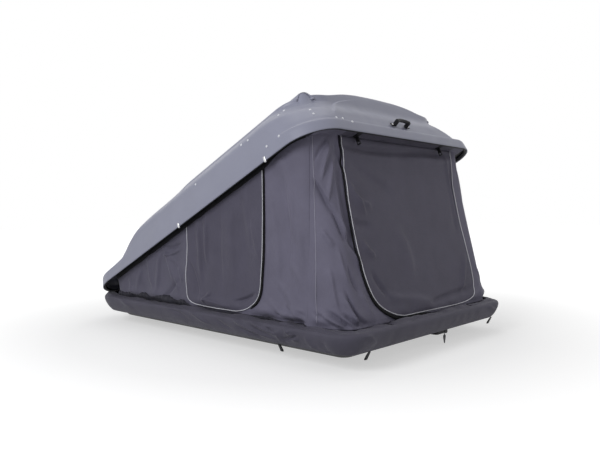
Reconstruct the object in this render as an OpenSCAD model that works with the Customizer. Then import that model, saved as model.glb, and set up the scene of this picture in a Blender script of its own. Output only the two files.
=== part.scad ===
// Roof top tent with a hinged hard lid, standing open as a wedge
// Lengths are in millimetres. +X runs from the hinge end to the opening end and +Z is up.
// The origin lies under the middle of the tray, on the underside of the mounting rails.
// Left is the -Y side and right is the +Y side.

/* [Overall] */
// Length over the rim of the lid
tent_l = 2100; // [1950:10:2300]
// Width over the rim of the lid
tent_w = 1416; // [1320:2:1560]
// Angle of the open lid
open_angle = 24.2; // [18:0.1:26]
// Clearance between pieces that seat on each other
fit = 0.3; // [0.2:0.05:0.5]

/* [Lid] */
// Wall of the moulded lid
lid_wall = 5; // [4:0.5:7]
// Height of the crest over the rim
lid_crest = 288; // [268:1:330]
// Corner radius of the rim at the opening end
rim_front_r = 180; // [150:5:210]
// Corner radius of the rim at the hinge end
rim_rear_r = 290; // [270:5:330]
// Half width of a roof rib
rib_half_w = 34; // [28:1:50]
// Rise of a roof rib over the shell
rib_rise = 24; // [12:1:35]
// Distance of each roof rib from the middle
rib_y = 502; // [460:2:510]
// Half length of the raised panel on the front of the lid
panel_half = 440; // [380:5:455]
// Rise of the raised panel
panel_rise = 4; // [2:0.5:6]
// Width of the rubber seal
seal_w = 15; // [10:1:20]
// Height of the rubber seal
seal_h = 8; // [5:1:10]

/* [Tray] */
// Wall of the tray
tray_wall = 5; // [4:0.5:7]
// Height of the belly of the tray over the roof bars
belly_z = 30; // [26:1:40]
// Height of the flat land under the edge of the tray
land_z = 78; // [70:1:86]
// Height of the rim of the tray
tray_rim_z = 168; // [155:1:185]
// Width of the flange round the top of the tray
flange_w = 56; // [50:1:64]
// Thickness of the floor panel
floor_t = 12; // [9:1:15]
// Thickness of the mattress
mattress_h = 75; // [50:1:80]
// Corner radius of the tray at the opening end
tray_front_r = 137; // [120:1:160]
// Corner radius of the tray at the hinge end
tray_rear_r = 250; // [230:5:300]

/* [Rails] */
// Length of a mounting rail
rail_l = 1300; // [1000:10:1400]
// Distance of the clamp slots from the ends of a rail
slot_inset = 150; // [60:5:200]
// Distance of the outer bolts from the ends of a rail
bolt_inset = 50; // [30:5:90]
// Width of a mounting rail
rail_w = 40; // [34:1:50]
// Distance of each rail from the middle
rail_y = 380; // [340:5:420]
// Width of the slots for the clamp bolts
slot_w = 8.5; // [6.5:0.5:10.5]
// Length of the slots for the clamp bolts
slot_l = 60; // [40:2:80]
// Radius of the rail bolts
bolt_r = 4; // [3:0.5:5]
// Length of a rail end cap
cap_l = 8; // [5:1:12]

/* [Hinges] */
// Distance of each hinge from the middle
hinge_y = 330; // [200:5:360]
// Radius of a hinge knuckle
knuckle_r = 6.5; // [6:0.5:7]
// Radius of a hinge pin
pin_r = 4; // [3:0.5:4.5]
// Width of a hinge leaf
leaf_w = 90; // [70:2:120]
// Thickness of a hinge leaf
leaf_t = 3; // [2:0.5:4]
// Distance of the hinge axis from the end of the tent
hinge_inset = 47.5; // [44:0.5:52]

/* [Struts] */
// Radius of the strut tube
tube_r = 11; // [10:0.5:13]
// Radius of the strut rod
rod_r = 5; // [4:0.5:6]
// Radius of the strut studs
stud_r = 5; // [4:0.5:5.5]
// Distance of each strut from the side of the tent
strut_inset = 96; // [93:1:102]
// Distance of the base stud of a strut from the hinge axis, along the tent
strut_base_x = 200; // [190:5:230]
// Depth of the base stud of a strut below the hinge axis
strut_drop = 45; // [42:1:50]
// Distance of the lid stud of a strut from the hinge axis, along the closed lid
strut_arm = 750; // [700:10:800]
// Height of the lid stud of a strut over the hinge axis, on the closed lid
strut_rise = 100; // [80:5:110]
// Radial running clearance of rods, plugs and pins
run = 0.06; // [0.03:0.01:0.09]

/* [Lock] */
// Sideways place of the lock
lock_y = 140; // [120:5:160]
// Length of the lock housing
housing_l = 112; // [100:2:150]
// Depth of the lock housing
housing_d = 43; // [38:1:46]
// Height of the lock housing
housing_h = 16; // [14:1:24]
// Radius of the lock plug
plug_r = 9; // [7:0.5:11]
// Radius of the crank that throws the lock rods
crank_r = 16; // [12:1:18]
// Radius of a lock rod
bolt_rod_r = 5; // [4:0.5:6]
// Distance of each lid catch from the middle
catch_y = 355; // [320:5:380]
// Width of the key bow
key_w = 20; // [16:1:24]
// Length of the key below the lock
key_l = 42; // [32:1:44]

/* [Handle] */
// Sideways place of the lid handle
handle_y = 12; // [-20:2:60]
// Length of the lid handle
handle_l = 106; // [90:2:150]
// Radius of the handle grip
grip_r = 9; // [6:0.5:11]
// Height of the lid handle over the rim
handle_w = 94; // [88:1:120]

/* [Fabric] */
// Thickness of the tent fabric
cloth = 1.6; // [1:0.1:2.5]
// Thickness of the skirt
skirt_t = 2.5; // [1.5:0.1:3]
// Height of the hem of the skirt over the roof bars
hem_z = 80; // [80:1:90]
// Depth of the main folds
fold_depth = 9; // [3:0.5:14]
// Distance from the edge of the skirt to the foot of the tent walls
foot_inset = 68; // [60:1:80]
// Radius of the piping round the doors
piping_r = 3.5; // [2:0.5:5]
// Width of the zip tape
zip_w = 11; // [8:1:14]
// Height of the foot of the doors over the ledge
door_foot = 26; // [20:1:60]
// Place of the hinge side edge of the side doors
side_door_x0 = -90; // [-300:5:0]
// Place of the opening side edge of the side doors
side_door_x1 = 490; // [400:5:560]
// Half width of the front door
front_door_half = 480; // [420:5:500]
// Corner radius of the side doors
door_r = 85; // [60:5:120]
// Corner radius of the front door
front_door_r = 180; // [80:5:220]

/* [Hidden] */

$fn = 48;
// Steps of each rounded corner in plan
arc_steps = 10;
// Half length and half width of the closed tent
half_l = tent_l / 2;
half_w = tent_w / 2;
strut_y = half_w - strut_inset;
// Insets of the tray wall at the rim and at the land
tray_top_in = 24;
tray_land_in = 64;
// Insets of the skirt at the ledge and at the hem
ledge_in = 17;
hem_in = 59;
// Tops of the skirt ledge, the tray land, the floor and the mattress
ledge_z = tray_rim_z + fit + skirt_t;
floor_z = land_z + tray_wall;
bed_z = floor_z + floor_t;
// Closed lid: its rim plane and its hinge end
rim_z = ledge_z + 1.2;
lid_shift = 7.5;
lid_x0 = -half_l - lid_shift;
// Axis of the lid hinge
hinge_x = -half_l + hinge_inset;
hinge_z = ledge_z + knuckle_r + 1.2;

// Sections of the moulded lid from the rim to the crest: height, then insets at the sides,
// the opening end and the hinge end, then corner radii at the opening end and the hinge end
lip_h = 60;
crest_h = 288;
lid_rows = [
    [0, 0, 0, 0, rim_front_r, rim_rear_r],
    [44, 3, 3, 3, rim_front_r + 2, rim_rear_r],
    [55, 6, 8, 12, rim_front_r + 4, rim_rear_r - 2],
    [lip_h, 8, 20, 155, rim_front_r + 10, 250],
    [68, 12, 30, 300, 205, 205],
    [92, 17, 38, 372, 214, 185],
    [123, 22, 51, 428, 226, 180],
    [155, 28, 70, 498, 234, 185],
    [178, 47, 85, 562, 242, 195],
    [197, 71, 93, 632, 236, 205],
    [213, 95, 96, 706, 226, 220],
    [229, 114, 97, 788, 200, 240],
    [245, 126, 98, 872, 172, 260],
    [259, 203, 99, 962, 152, 270],
    [273, 306, 101, 1105, 140, 250],
    [284, 440, 106, 1200, 130, 180],
    [crest_h, 520, 122, 1260, 120, 120]
];

// Height of a lid section, stretched between the lip and the crest
function row_h(h) = h <= lip_h ? h : lip_h + (h - lip_h) * (lid_crest - lip_h) / (crest_h - lip_h);
// Insets of the lid at a height over its rim
function side_in(h) = lookup(h, [for (r = lid_rows) [row_h(r[0]), r[1]]]);
function front_in(h) = lookup(h, [for (r = lid_rows) [row_h(r[0]), r[2]]]);

// Quarter turn round a corner
function corner(cx, cy, r, a0) =
    [for (i = [0:arc_steps]) [cx + r * cos(a0 + 90 * i / arc_steps), cy + r * sin(a0 + 90 * i / arc_steps)]];
// Rounded rectangle with its own radii at the opening end and the hinge end
function plan(x0, x1, half, rf, rr) = concat(
    corner(x1 - rf, half - rf, rf, 0),
    corner(x0 + rr, half - rr, rr, 90),
    corner(x0 + rr, -half + rr, rr, 180),
    corner(x1 - rf, -half + rf, rf, 270));
function at_z(pts, z) = [for (p = pts) [p.x, p.y, z]];
function flat(rings) = [for (r = rings) for (p = r) p];
function lerp(a, b, t) = a + (b - a) * t;

// Outline of the tray at an inset from the edge of the tent
function tray_plan(in) = plan(-half_l + in, half_l - in, half_w - in,
    max(tray_front_r - in, 40), max(tray_rear_r - in, 60));
function tray_ring(in, z) = at_z(tray_plan(in), z);
// Section of the closed lid, grown outwards or sunk inwards
function lid_ring(r, grow, sink) = at_z(
    plan(lid_x0 + r[3] - grow, lid_x0 + tent_l - r[2] + grow, half_w - r[1] + grow,
        min(r[4] + grow, half_w - r[1] + grow), min(r[5] + grow, half_w - r[1] + grow)),
    rim_z + row_h(r[0]) - sink);

// Faces between rings of n points, in a row or closed into a loop
function side_faces(n, count, loop = false) = [
    for (k = [0:count - (loop ? 1 : 2)], j = [0:n - 1])
        let (a = k * n + j, b = k * n + (j + 1) % n, up = ((k + 1) % count) * n,
            c = up + (j + 1) % n, d = up + j)
        each [[a, d, c], [a, c, b]]];
// Closed solid through rings, with flat ends
module skin(rings) {
    n = len(rings[0]);
    m = len(rings);
    polyhedron(flat(rings), concat(
        [[for (j = [0:n - 1]) j]],
        side_faces(n, m),
        [[for (j = [n - 1:-1:0]) (m - 1) * n + j]]));
}
// Closed solid through a loop of rings
module hoop(rings) {
    polyhedron(flat(rings), side_faces(len(rings[0]), len(rings), true));
}

// Turn of the lid parts from closed to open
module lid_open() {
    translate([hinge_x, 0, hinge_z]) rotate([0, -open_angle, 0]) translate([-hinge_x, 0, -hinge_z]) children();
}
function open_pt(p) = [
    hinge_x + (p.x - hinge_x) * cos(open_angle) - (p.z - hinge_z) * sin(open_angle),
    p.y,
    hinge_z + (p.x - hinge_x) * sin(open_angle) + (p.z - hinge_z) * cos(open_angle)];
// Bar along Y between two places
module bar_y(x, z, r, y0, y1) {
    translate([x, y0, z]) rotate([-90, 0, 0]) cylinder(r = r, h = y1 - y0);
}
// Box between two corners
module span(lo, hi) {
    translate(lo) cube(hi - lo);
}
// Copies of a piece made for the left side and for the right side
module on_side(side) {
    mirror([0, side > 0 ? 1 : 0, 0]) children();
}

// Tray

// Rim of the tray at the places of the lock rods and catches
rod_x = half_l - 64;
rod_z = tray_rim_z - 18;
lock_x = half_l - 85;
catch_slot = [28, 22];
spindle_r = plug_r - 3;

bolt_end = rail_l / 2 - bolt_inset;
bolt_places = [for (x = [-1, -0.4, 0.4, 1] * bolt_end) for (side = [-1, 1]) [x, side * rail_y]];

module base_tray() {
    w = tray_wall;
    color("#26272b") difference() {
        skin([
            tray_ring(200, belly_z),
            tray_ring(158, belly_z + 12),
            tray_ring(tray_land_in + 52, land_z),
            tray_ring(tray_land_in, land_z),
            tray_ring(tray_top_in, tray_rim_z),
            tray_ring(tray_top_in + flange_w, tray_rim_z),
            tray_ring(tray_top_in + flange_w, tray_rim_z - w),
            tray_ring(tray_top_in + w + 2, tray_rim_z - w),
            tray_ring(tray_land_in + w, land_z + w),
            tray_ring(tray_land_in + 50, land_z + w),
            tray_ring(155, belly_z + 12 + w),
            tray_ring(198, belly_z + w)
        ]);
        for (side = [-1, 1])
            translate([rod_x - catch_slot.x / 2, side * catch_y - catch_slot.y / 2, tray_rim_z - 2 * w])
                cube([catch_slot.x, catch_slot.y, 3 * w]);
        translate([lock_x, lock_y, land_z - 1]) cylinder(r = spindle_r + 1, h = w + 2);
        for (p = bolt_places)
            translate([p.x, p.y, belly_z - 1]) cylinder(r = bolt_r + run, h = w + 2);
    }
}

floor_in = tray_land_in + 10;
floor_front_in = 108;
floor_front_r = 60;
module floor_panel() {
    color("#8a7350") translate([0, 0, floor_z]) linear_extrude(floor_t)
        polygon(plan(-half_l + floor_in, half_l - floor_front_in, half_w - floor_in, floor_front_r,
            tray_rear_r - floor_in));
}

beam_w = 40;
beam_t = 3;
module cross_beams() {
    reach = half_w - 208;
    h = floor_z - belly_z - tray_wall;
    color("#a8abae") for (x = [-480, 0, 480])
        translate([x * tent_l / 2100, -reach, belly_z + tray_wall]) difference() {
            translate([-beam_w / 2, 0, 0]) cube([beam_w, 2 * reach, h]);
            translate([-beam_w / 2 + beam_t, -1, beam_t])
                cube([beam_w - 2 * beam_t, 2 * reach + 2, h - 2 * beam_t]);
        }
}

// Mattress with a crown and drawn-in sides
bed_half = strut_y - tube_r - 16;
bed_front_r = 70;
bed_rear_r = 130;
module mattress() {
    x0 = -half_l + 120;
    x1 = half_l - 125;
    // Rings from the foot to the crown: inset and share of the height
    rows = [[14, 0], [3, 0.08], [0, 0.2], [4, 0.5], [0, 0.8], [4, 0.9], [24, 0.97], [150, 1]];
    color("#5b5d63") skin([for (r = rows)
        at_z(plan(x0 + r[0], x1 - r[0], bed_half - r[0], bed_front_r, bed_rear_r), bed_z + r[1] * mattress_h)]);
}

// Mounting rails, with slots for clamp bolts in the underside

rail_wall = 4;
// Places of the clamp slots on the rails
slot_x = rail_l / 2 - slot_inset;
module rail_profile() {
    h = rail_w / 2;
    w = rail_wall;
    difference() {
        translate([-h, 0]) square([rail_w, belly_z]);
        translate([-h + w, w]) square([rail_w - 2 * w, belly_z - 8 - w]);
    }
}
// Slot with round ends, along X
module clamp_slot(length, width, depth) {
    linear_extrude(depth) {
        square([length - width, width], center = true);
        for (end = [-1, 1]) translate([end * (length - width) / 2, 0]) circle(r = width / 2);
    }
}

module mounting_rail(side) {
    color("#b4b7ba") difference() {
        translate([-rail_l / 2, side * rail_y, 0]) rotate([90, 0, 90]) linear_extrude(rail_l) rail_profile();
        for (end = [-1, 1])
            translate([end * slot_x, side * rail_y, -1]) clamp_slot(slot_l, slot_w, rail_wall + 2);
        for (p = bolt_places)
            translate([p.x, p.y, belly_z - 10]) cylinder(r = bolt_r + run, h = 12);
    }
}

module rail_end_caps() {
    color("#1b1b1d") for (end = [-1, 1]) for (side = [-1, 1])
        translate([end * (rail_l / 2 + cap_l / 2), side * rail_y, belly_z / 2])
            cube([cap_l, rail_w, belly_z], center = true);
}

// Round-headed bolts through the belly, with nuts in the rails
module rail_bolts() {
    nut_h = 6;
    head_h = 4;
    color("#c6c8ca") for (p = bolt_places) translate([p.x, p.y, 0]) {
        translate([0, 0, belly_z - 8 - nut_h]) cylinder(r = bolt_r, h = nut_h + 8 + tray_wall + head_h);
        translate([0, 0, belly_z - 8 - nut_h]) cylinder(r = bolt_r * 1.8, h = nut_h, $fn = 6);
        translate([0, 0, belly_z + tray_wall]) cylinder(r1 = bolt_r * 2.4, r2 = bolt_r * 1.4, h = head_h);
    }
}

// Skirt of fabric over the edge of the tray, with tabs under its hem

ledge_w = tray_top_in + flange_w - ledge_in;
module skirt() {
    t = skirt_t;
    color("#35343a") difference() {
        hoop([
            tray_ring(hem_in, hem_z),
            tray_ring(hem_in - 11, hem_z + 9),
            tray_ring(lerp(hem_in, ledge_in, 0.62), lerp(hem_z, ledge_z, 0.34)),
            tray_ring(ledge_in + 4, lerp(hem_z, ledge_z, 0.64)),
            tray_ring(ledge_in, ledge_z - 14),
            tray_ring(ledge_in + 2, ledge_z - 4),
            tray_ring(ledge_in + 8, ledge_z),
            tray_ring(ledge_in + ledge_w, ledge_z),
            tray_ring(ledge_in + ledge_w, ledge_z - t),
            tray_ring(tray_top_in - 0.4, ledge_z - t),
            tray_ring(ledge_in + t, ledge_z - 14),
            tray_ring(ledge_in + 4 + t, lerp(hem_z, ledge_z, 0.64)),
            tray_ring(lerp(hem_in, ledge_in, 0.62) + t, lerp(hem_z, ledge_z, 0.34)),
            tray_ring(hem_in - 11 + t, hem_z + 9),
            tray_ring(hem_in + t, hem_z)
        ]);
        for (side = [-1, 1])
            translate([rod_x - catch_slot.x / 2, side * catch_y - catch_slot.y / 2, ledge_z - 2 * t])
                cube([catch_slot.x, catch_slot.y, 3 * t]);
    }
}

hook_w = 14;
hook_h = 38;
hook_t = 7;
hook_lean = 16;
// Tab hanging from the hem, which leans in under the tray and ends in a toe, drawn facing +X
module hem_hook() {
    toe = 8;
    translate([0, hook_w / 2, 0]) rotate([90, 0, 0]) linear_extrude(hook_w)
        polygon([[0, 0], [0, -4], [-hook_lean, -hook_h + 4], [-hook_lean - 2, -hook_h],
            [-hook_lean - toe, -hook_h], [-hook_lean - hook_t, -hook_h + 6], [-hook_t, -6],
            [-hook_t / 2, -4], [-hook_t / 2, 0]]);
}

module skirt_hooks() {
    edge_x = half_l - hem_in;
    edge_y = half_w - hem_in;
    color("#151517") {
        for (y = [-0.72, 0.84] * half_w) translate([edge_x, y, hem_z]) hem_hook();
        for (y = [-0.5, 0.5] * half_w) translate([-edge_x, y, hem_z]) rotate([0, 0, 180]) hem_hook();
        for (side = [-1, 1])
            translate([0.57 * half_l, side * edge_y, hem_z]) rotate([0, 0, 90 * side]) hem_hook();
    }
}

// Hinges between the tray and the lid

knuckle_gap = 0.5;
leaf_end = -half_l + tray_top_in + flange_w;
module hinge_base_leaf(side) {
    y = side * hinge_y;
    mid = leaf_w / 6;
    color("#8d9093") difference() {
        union() {
            span([hinge_x, y - leaf_w / 2, ledge_z], [leaf_end, y + leaf_w / 2, ledge_z + leaf_t]);
            bar_y(hinge_x, hinge_z, knuckle_r, y - leaf_w / 2, y + leaf_w / 2);
            span([hinge_x, y - leaf_w / 2, ledge_z + leaf_t / 2],
                [hinge_x + knuckle_r, y + leaf_w / 2, hinge_z]);
        }
        bar_y(hinge_x, hinge_z, pin_r, y - leaf_w, y + leaf_w);
        span([hinge_x - 2 * knuckle_r, y - mid - knuckle_gap, ledge_z - 1],
            [hinge_x + knuckle_r + 4, y + mid + knuckle_gap, hinge_z + 2 * knuckle_r]);
    }
}

module hinge_pin(side) {
    color("#c6c8ca") bar_y(hinge_x, hinge_z, pin_r, side * hinge_y - leaf_w / 2, side * hinge_y + leaf_w / 2);
}

pad_half = 24;
// Underside of the lip at the hinge end, over the rim, at a distance from the end of the lid
function lip_under(d) = let (low = lid_rows[2], high = lid_rows[3])
    lerp(low[0], high[0], (d - low[3] - 0.9 * lid_wall) / (high[3] - low[3])) - lid_wall;
module hinge_lid_leaf(side) {
    y = side * hinge_y;
    mid = leaf_w / 6;
    top = rim_z + lip_under(hinge_x - pad_half - lid_x0) - fit;
    color("#8d9093") lid_open() difference() {
        union() {
            bar_y(hinge_x, hinge_z, knuckle_r, y - mid, y + mid);
            span([hinge_x - leaf_t, y - mid, hinge_z], [hinge_x + leaf_t, y + mid, top]);
            span([hinge_x - pad_half, y - leaf_w / 2, top - leaf_t],
                [hinge_x + pad_half, y + leaf_w / 2, top]);
        }
        bar_y(hinge_x, hinge_z, pin_r + run, y - leaf_w, y + leaf_w);
    }
}

// Gas struts, from a stud on the floor near the hinge to a stud on the lid

strut_base = [hinge_x + strut_base_x, hinge_z - strut_drop];
strut_lid = [hinge_x + strut_arm, hinge_z + strut_rise];
strut_lid_open = open_pt([strut_lid.x, 0, strut_lid.y]);
strut_run = [strut_lid_open.x - strut_base.x, strut_lid_open.z - strut_base.y];
strut_open_l = norm(strut_run);
strut_closed_l = norm(strut_lid - strut_base);
strut_slope = atan2(strut_run.y, strut_run.x);
eye_t = 8;
eye_gap = 0.6;
gland_l = 20;
tube_end = strut_closed_l - 40;

// Local frame of a strut: +X runs from the base stud to the lid stud
module strut_frame(side) {
    translate([strut_base.x, side * strut_y, strut_base.y]) rotate([0, -strut_slope, 0]) children();
}

module strut_base_bracket(side) {
    x = strut_base.x;
    y = side * strut_y;
    inner = y - side * (eye_t / 2 + 1);
    outer = y + side * (eye_t / 2 + 1);
    foot_t = 4;
    color("#a0a3a6") {
        span([x - 24, y - 11, bed_z], [x + 38, y + 11, bed_z + foot_t]);
        for (face = [inner, outer])
            translate([x, face - (face < y ? foot_t : 0), bed_z])
                translate([-14, 0, 0]) cube([28, foot_t, strut_base.y - bed_z + 10]);
        bar_y(x, strut_base.y, stud_r, y - eye_t / 2 - 1.5, y + eye_t / 2 + 1.5);
    }
}

module strut_cylinder(side) {
    color("#1c1c1f") strut_frame(side) difference() {
        union() {
            rotate([90, 0, 0]) cylinder(r = stud_r + 5, h = eye_t, center = true);
            rotate([0, 90, 0]) cylinder(r = 4, h = 22);
            translate([20, 0, 0]) rotate([0, 90, 0]) cylinder(r = tube_r, h = tube_end - 20);
        }
        rotate([90, 0, 0]) cylinder(r = stud_r + run, h = 2 * eye_t, center = true);
        translate([26, 0, 0]) rotate([0, 90, 0]) cylinder(r = tube_r - 2, h = tube_end - 26 - gland_l);
        translate([26, 0, 0]) rotate([0, 90, 0]) cylinder(r = rod_r + run, h = tube_end);
    }
}

module strut_rod(side) {
    inner_end = tube_end - gland_l - 60;
    color("#d4d6d8") strut_frame(side) difference() {
        union() {
            translate([inner_end, 0, 0]) rotate([0, 90, 0])
                cylinder(r = rod_r, h = strut_open_l - inner_end - stud_r - 2);
            translate([inner_end, 0, 0]) rotate([0, 90, 0]) cylinder(r = tube_r - 2.5, h = 16);
            translate([strut_open_l, 0, 0]) rotate([90, 0, 0])
                cylinder(r = stud_r + 5, h = eye_t, center = true);
        }
        translate([strut_open_l, 0, 0]) rotate([90, 0, 0])
            cylinder(r = stud_r + 0.5, h = 2 * eye_t, center = true);
    }
}

// Stud beside the rod eye, on a plate on the wall of the lid
module strut_lid_bracket(side) {
    plate_h = 26;
    plate_t = 4;
    low = strut_lid.y - plate_h / 2;
    wall_y = half_w - side_in(strut_lid.y + plate_h / 2 - rim_z) - lid_wall - 2 * fit;
    color("#a0a3a6") lid_open() on_side(-side) {
        span([strut_lid.x - 36, wall_y - plate_t, low], [strut_lid.x + 36, wall_y, low + plate_h]);
        bar_y(strut_lid.x, strut_lid.y, stud_r, strut_y + max(eye_t / 2, rod_r) + eye_gap, wall_y - 1);
    }
}

// Key lock under the edge of the tray, which throws two rods through the catches of the lid

housing_y1 = lock_y + 16;
housing_front = half_l - hem_in - 12;
plug_base = land_z - housing_h - 6;
crank_z = rod_z - 20;
yoke_z = rod_z - 9;
yoke_t = 5;
throw_angle = 90;
crank_pin_r = 3;
slot_clear = 0.8;
// Places of the crank pins when the lid is unlocked
pin_off = crank_r * sin(throw_angle / 2);

module lock_housing() {
    color("#17171a") difference() {
        union() {
            translate([0, 0, land_z - housing_h]) linear_extrude(housing_h) polygon(
                [for (p = plan(housing_front - housing_d, housing_front, housing_l / 2, 14, 10))
                    [p.x, p.y + housing_y1 - housing_l / 2]]);
            translate([lock_x, lock_y, land_z - housing_h - 4]) cylinder(r = plug_r + 4, h = 6);
        }
        // Shallow groove along the front
        translate([housing_front + 8, housing_y1 - housing_l + 16, land_z - housing_h / 2])
            rotate([-90, 0, 0]) cylinder(r = 10, h = housing_l - 52);
        translate([lock_x, lock_y, land_z - housing_h - 5]) cylinder(r = plug_r + run, h = housing_h + 3);
        translate([lock_x, lock_y, land_z - 5]) cylinder(r = spindle_r + 1, h = 6);
    }
}

// Turning plug with its spindle and crank
module lock_plug() {
    color("#d8dadc") translate([lock_x, lock_y, 0]) {
        difference() {
            translate([0, 0, plug_base]) cylinder(r = plug_r, h = land_z - 3 - plug_base);
            translate([0, 0, plug_base - 1]) translate([-1.6, -5, 0]) cube([3.2, 10, 15]);
        }
        translate([0, 0, land_z - 4]) cylinder(r = spindle_r, h = crank_z - land_z + 5);
        translate([0, 0, crank_z]) cylinder(r = crank_r + 7, h = 6);
        for (turn = [0, 180]) rotate([0, 0, turn])
            translate([crank_r * cos(throw_angle / 2), -pin_off, crank_z]) cylinder(r = crank_pin_r, h = 20);
    }
}

module key() {
    shank = [2.4, 8];
    z1 = plug_base;
    color("#3a3b3f") translate([lock_x, lock_y, 0]) {
        translate([-shank.x / 2, -shank.y / 2, z1 - 10]) cube([shank.x, shank.y, 22]);
        translate([1.6, 0, z1 - 8]) rotate([0, -90, 0]) difference() {
            linear_extrude(3.2) polygon([[0, -5], [-4, -key_w / 2], [-14, -key_w / 2],
                [-key_l + 2, -2.5], [-key_l, -1], [-key_l, 1], [-key_l + 2, 2.5], [-14, key_w / 2],
                [-4, key_w / 2], [0, 5]]);
            translate([-9, 0, -1]) cylinder(r = 3, h = 6);
        }
    }
}

// Rod with a slotted yoke over its crank pin
module lock_rod(side) {
    pin = [lock_x + side * crank_r * cos(throw_angle / 2), lock_y - side * pin_off];
    reach = [lock_x + side * crank_r + side * (crank_pin_r + 0.5), pin.x - side * (crank_pin_r + 0.5)];
    lo = min(reach);
    hi = max(reach);
    edge = 5;
    slot_h = crank_pin_r + slot_clear;
    start = side > 0 ? pin.y + crank_pin_r + 3 : lock_y - 50;
    tip = side * (catch_y - catch_tab / 2 - 3);
    color("#b9bbbe") {
        translate([0, 0, yoke_z]) linear_extrude(yoke_t) difference() {
            union() {
                translate([lo - edge, pin.y - slot_h - edge])
                    square([side > 0 ? rod_x + bolt_rod_r - lo + edge : hi - lo + 2 * edge,
                        2 * (slot_h + edge) + (side > 0 ? 16 : 0)]);
                if (side < 0) {
                    translate([lo - edge, start - 9]) square([hi - lo + 2 * edge, pin.y - start + 9]);
                    translate([lo - edge, start - 9]) square([rod_x + bolt_rod_r - lo + edge, 18]);
                }
            }
            translate([lo, pin.y - slot_h]) square([hi - lo, 2 * slot_h]);
        }
        if (side > 0) bar_y(rod_x, rod_z, bolt_rod_r, start, tip);
        if (side < 0) bar_y(rod_x, rod_z, bolt_rod_r, tip, start);
    }
}

// Guides of the lock rods, under the flange of the tray
module rod_guides() {
    guide = [18, 14];
    low = rod_z - bolt_rod_r - 3;
    color("#1b1b1d") for (y = [-catch_y + 40, -40, lock_y + 70, catch_y - 40]) difference() {
        span([rod_x - guide.x / 2, y - guide.y / 2, low],
            [rod_x + guide.x / 2, y + guide.y / 2, tray_rim_z - tray_wall]);
        bar_y(rod_x, rod_z, bolt_rod_r + run, y - guide.y, y + guide.y);
    }
}

// Lid

rib_stations = [0.5, 0.58, 0.72, 0.87, 0.927];
module roof_rib(side) {
    z = rim_z + row_h(250) + rib_rise - 26;
    for (i = [0:len(rib_stations) - 2]) hull() for (k = [i, i + 1])
        translate([lid_x0 + rib_stations[k] * tent_l, side * rib_y, z - (k == 0 ? 14 : k == 4 ? 2 : 0)])
            scale([1, 1, 26 / rib_half_w]) sphere(r = k == 0 ? rib_half_w * 0.7 : rib_half_w, $fn = 20);
}

// Raised panel with round corners, following the front of the lid
panel_r = 34;
panel_reach = 300;
module front_panel() {
    low = rim_z + 74;
    high = rim_z + 214;
    intersection() {
        skin([for (r = lid_rows) lid_ring(r, panel_rise, r[0] == 0 ? 0 : -panel_rise / 2)]);
        translate([lid_x0 + tent_l - panel_reach, 0, 0]) rotate([90, 0, 90]) linear_extrude(panel_reach + 20)
            translate([0, (low + high) / 2]) offset(r = panel_r)
                square([2 * (panel_half - panel_r), high - low - 2 * panel_r], center = true);
    }
}

module lid_shell() {
    inner = 0.9 * lid_wall;
    color("#a9acb4") lid_open() difference() {
        union() {
            skin([for (r = lid_rows) lid_ring(r, 0, 0)]);
            for (side = [-1, 1]) roof_rib(side);
            front_panel();
        }
        skin(concat(
            [lid_ring(lid_rows[0], -lid_wall, 2)],
            [for (i = [1:len(lid_rows) - 1]) lid_ring(lid_rows[i], -inner, lid_wall)]));
    }
}

seal_z = 1.5;
// Seal round the sides and the opening end
module lid_seal() {
    out = lid_wall + fit + 0.7;
    function seal_ring(in, h) = lid_ring([h, in, in, in, rim_front_r - in, rim_rear_r - in], 0, 0);
    color("#131315") lid_open() difference() {
        hoop([
            seal_ring(out, seal_z), seal_ring(out + 0.4, seal_z + seal_h),
            seal_ring(out + seal_w, seal_z + seal_h), seal_ring(out + seal_w - 5, seal_z)
        ]);
        span([lid_x0 - 1, -half_w, rim_z - seal_h], [hinge_x + 2 * knuckle_r, half_w, rim_z + 3 * seal_h]);
    }
}

// Flange inside the lid that carries the top edge of the tent walls, open at the hinge end
rail_t = 4;
module fabric_rail() {
    out = side_in(fabric_h + rail_t) + lid_wall + fit;
    inner = [fabric_in + 8, fabric_front_in + 8];
    back = lid_x0 + rim_rear_r + 20;
    low = fabric_h + 2 * fit;
    function rail_ring(in, tighter, h) =
        lid_ring([h, in.x, in.y, in.x, rim_front_r - tighter, rim_rear_r - tighter], 0, 0);
    color("#8f9298") lid_open() difference() {
        hoop([
            rail_ring([out, out], lid_wall - 2, low), rail_ring([out, out], lid_wall - 2, low + rail_t),
            rail_ring(inner, fabric_in, low + rail_t), rail_ring(inner, fabric_in, low)
        ]);
        span([lid_x0 - 1, -half_w, rim_z], [back, half_w, rim_z + 2 * lip_h]);
        for (side = [-1, 1])
            span([lid_x0 + tent_l - 40, side * catch_y - 22, rim_z], [lid_x0 + tent_l, side * catch_y + 22,
                rim_z + lip_h]);
    }
}

// Arched grip on two feet, on the front of the lid
handle_arc = 44;
handle_out = 26;
foot_r = 11;
tab_l = 22;
tab_t = 4;
handle_face = lid_x0 + tent_l - front_in(handle_w - panel_rise / 2) + panel_rise;
handle_slope = atan2(front_in(handle_w + 10) - front_in(handle_w - 10), 20);
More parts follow.
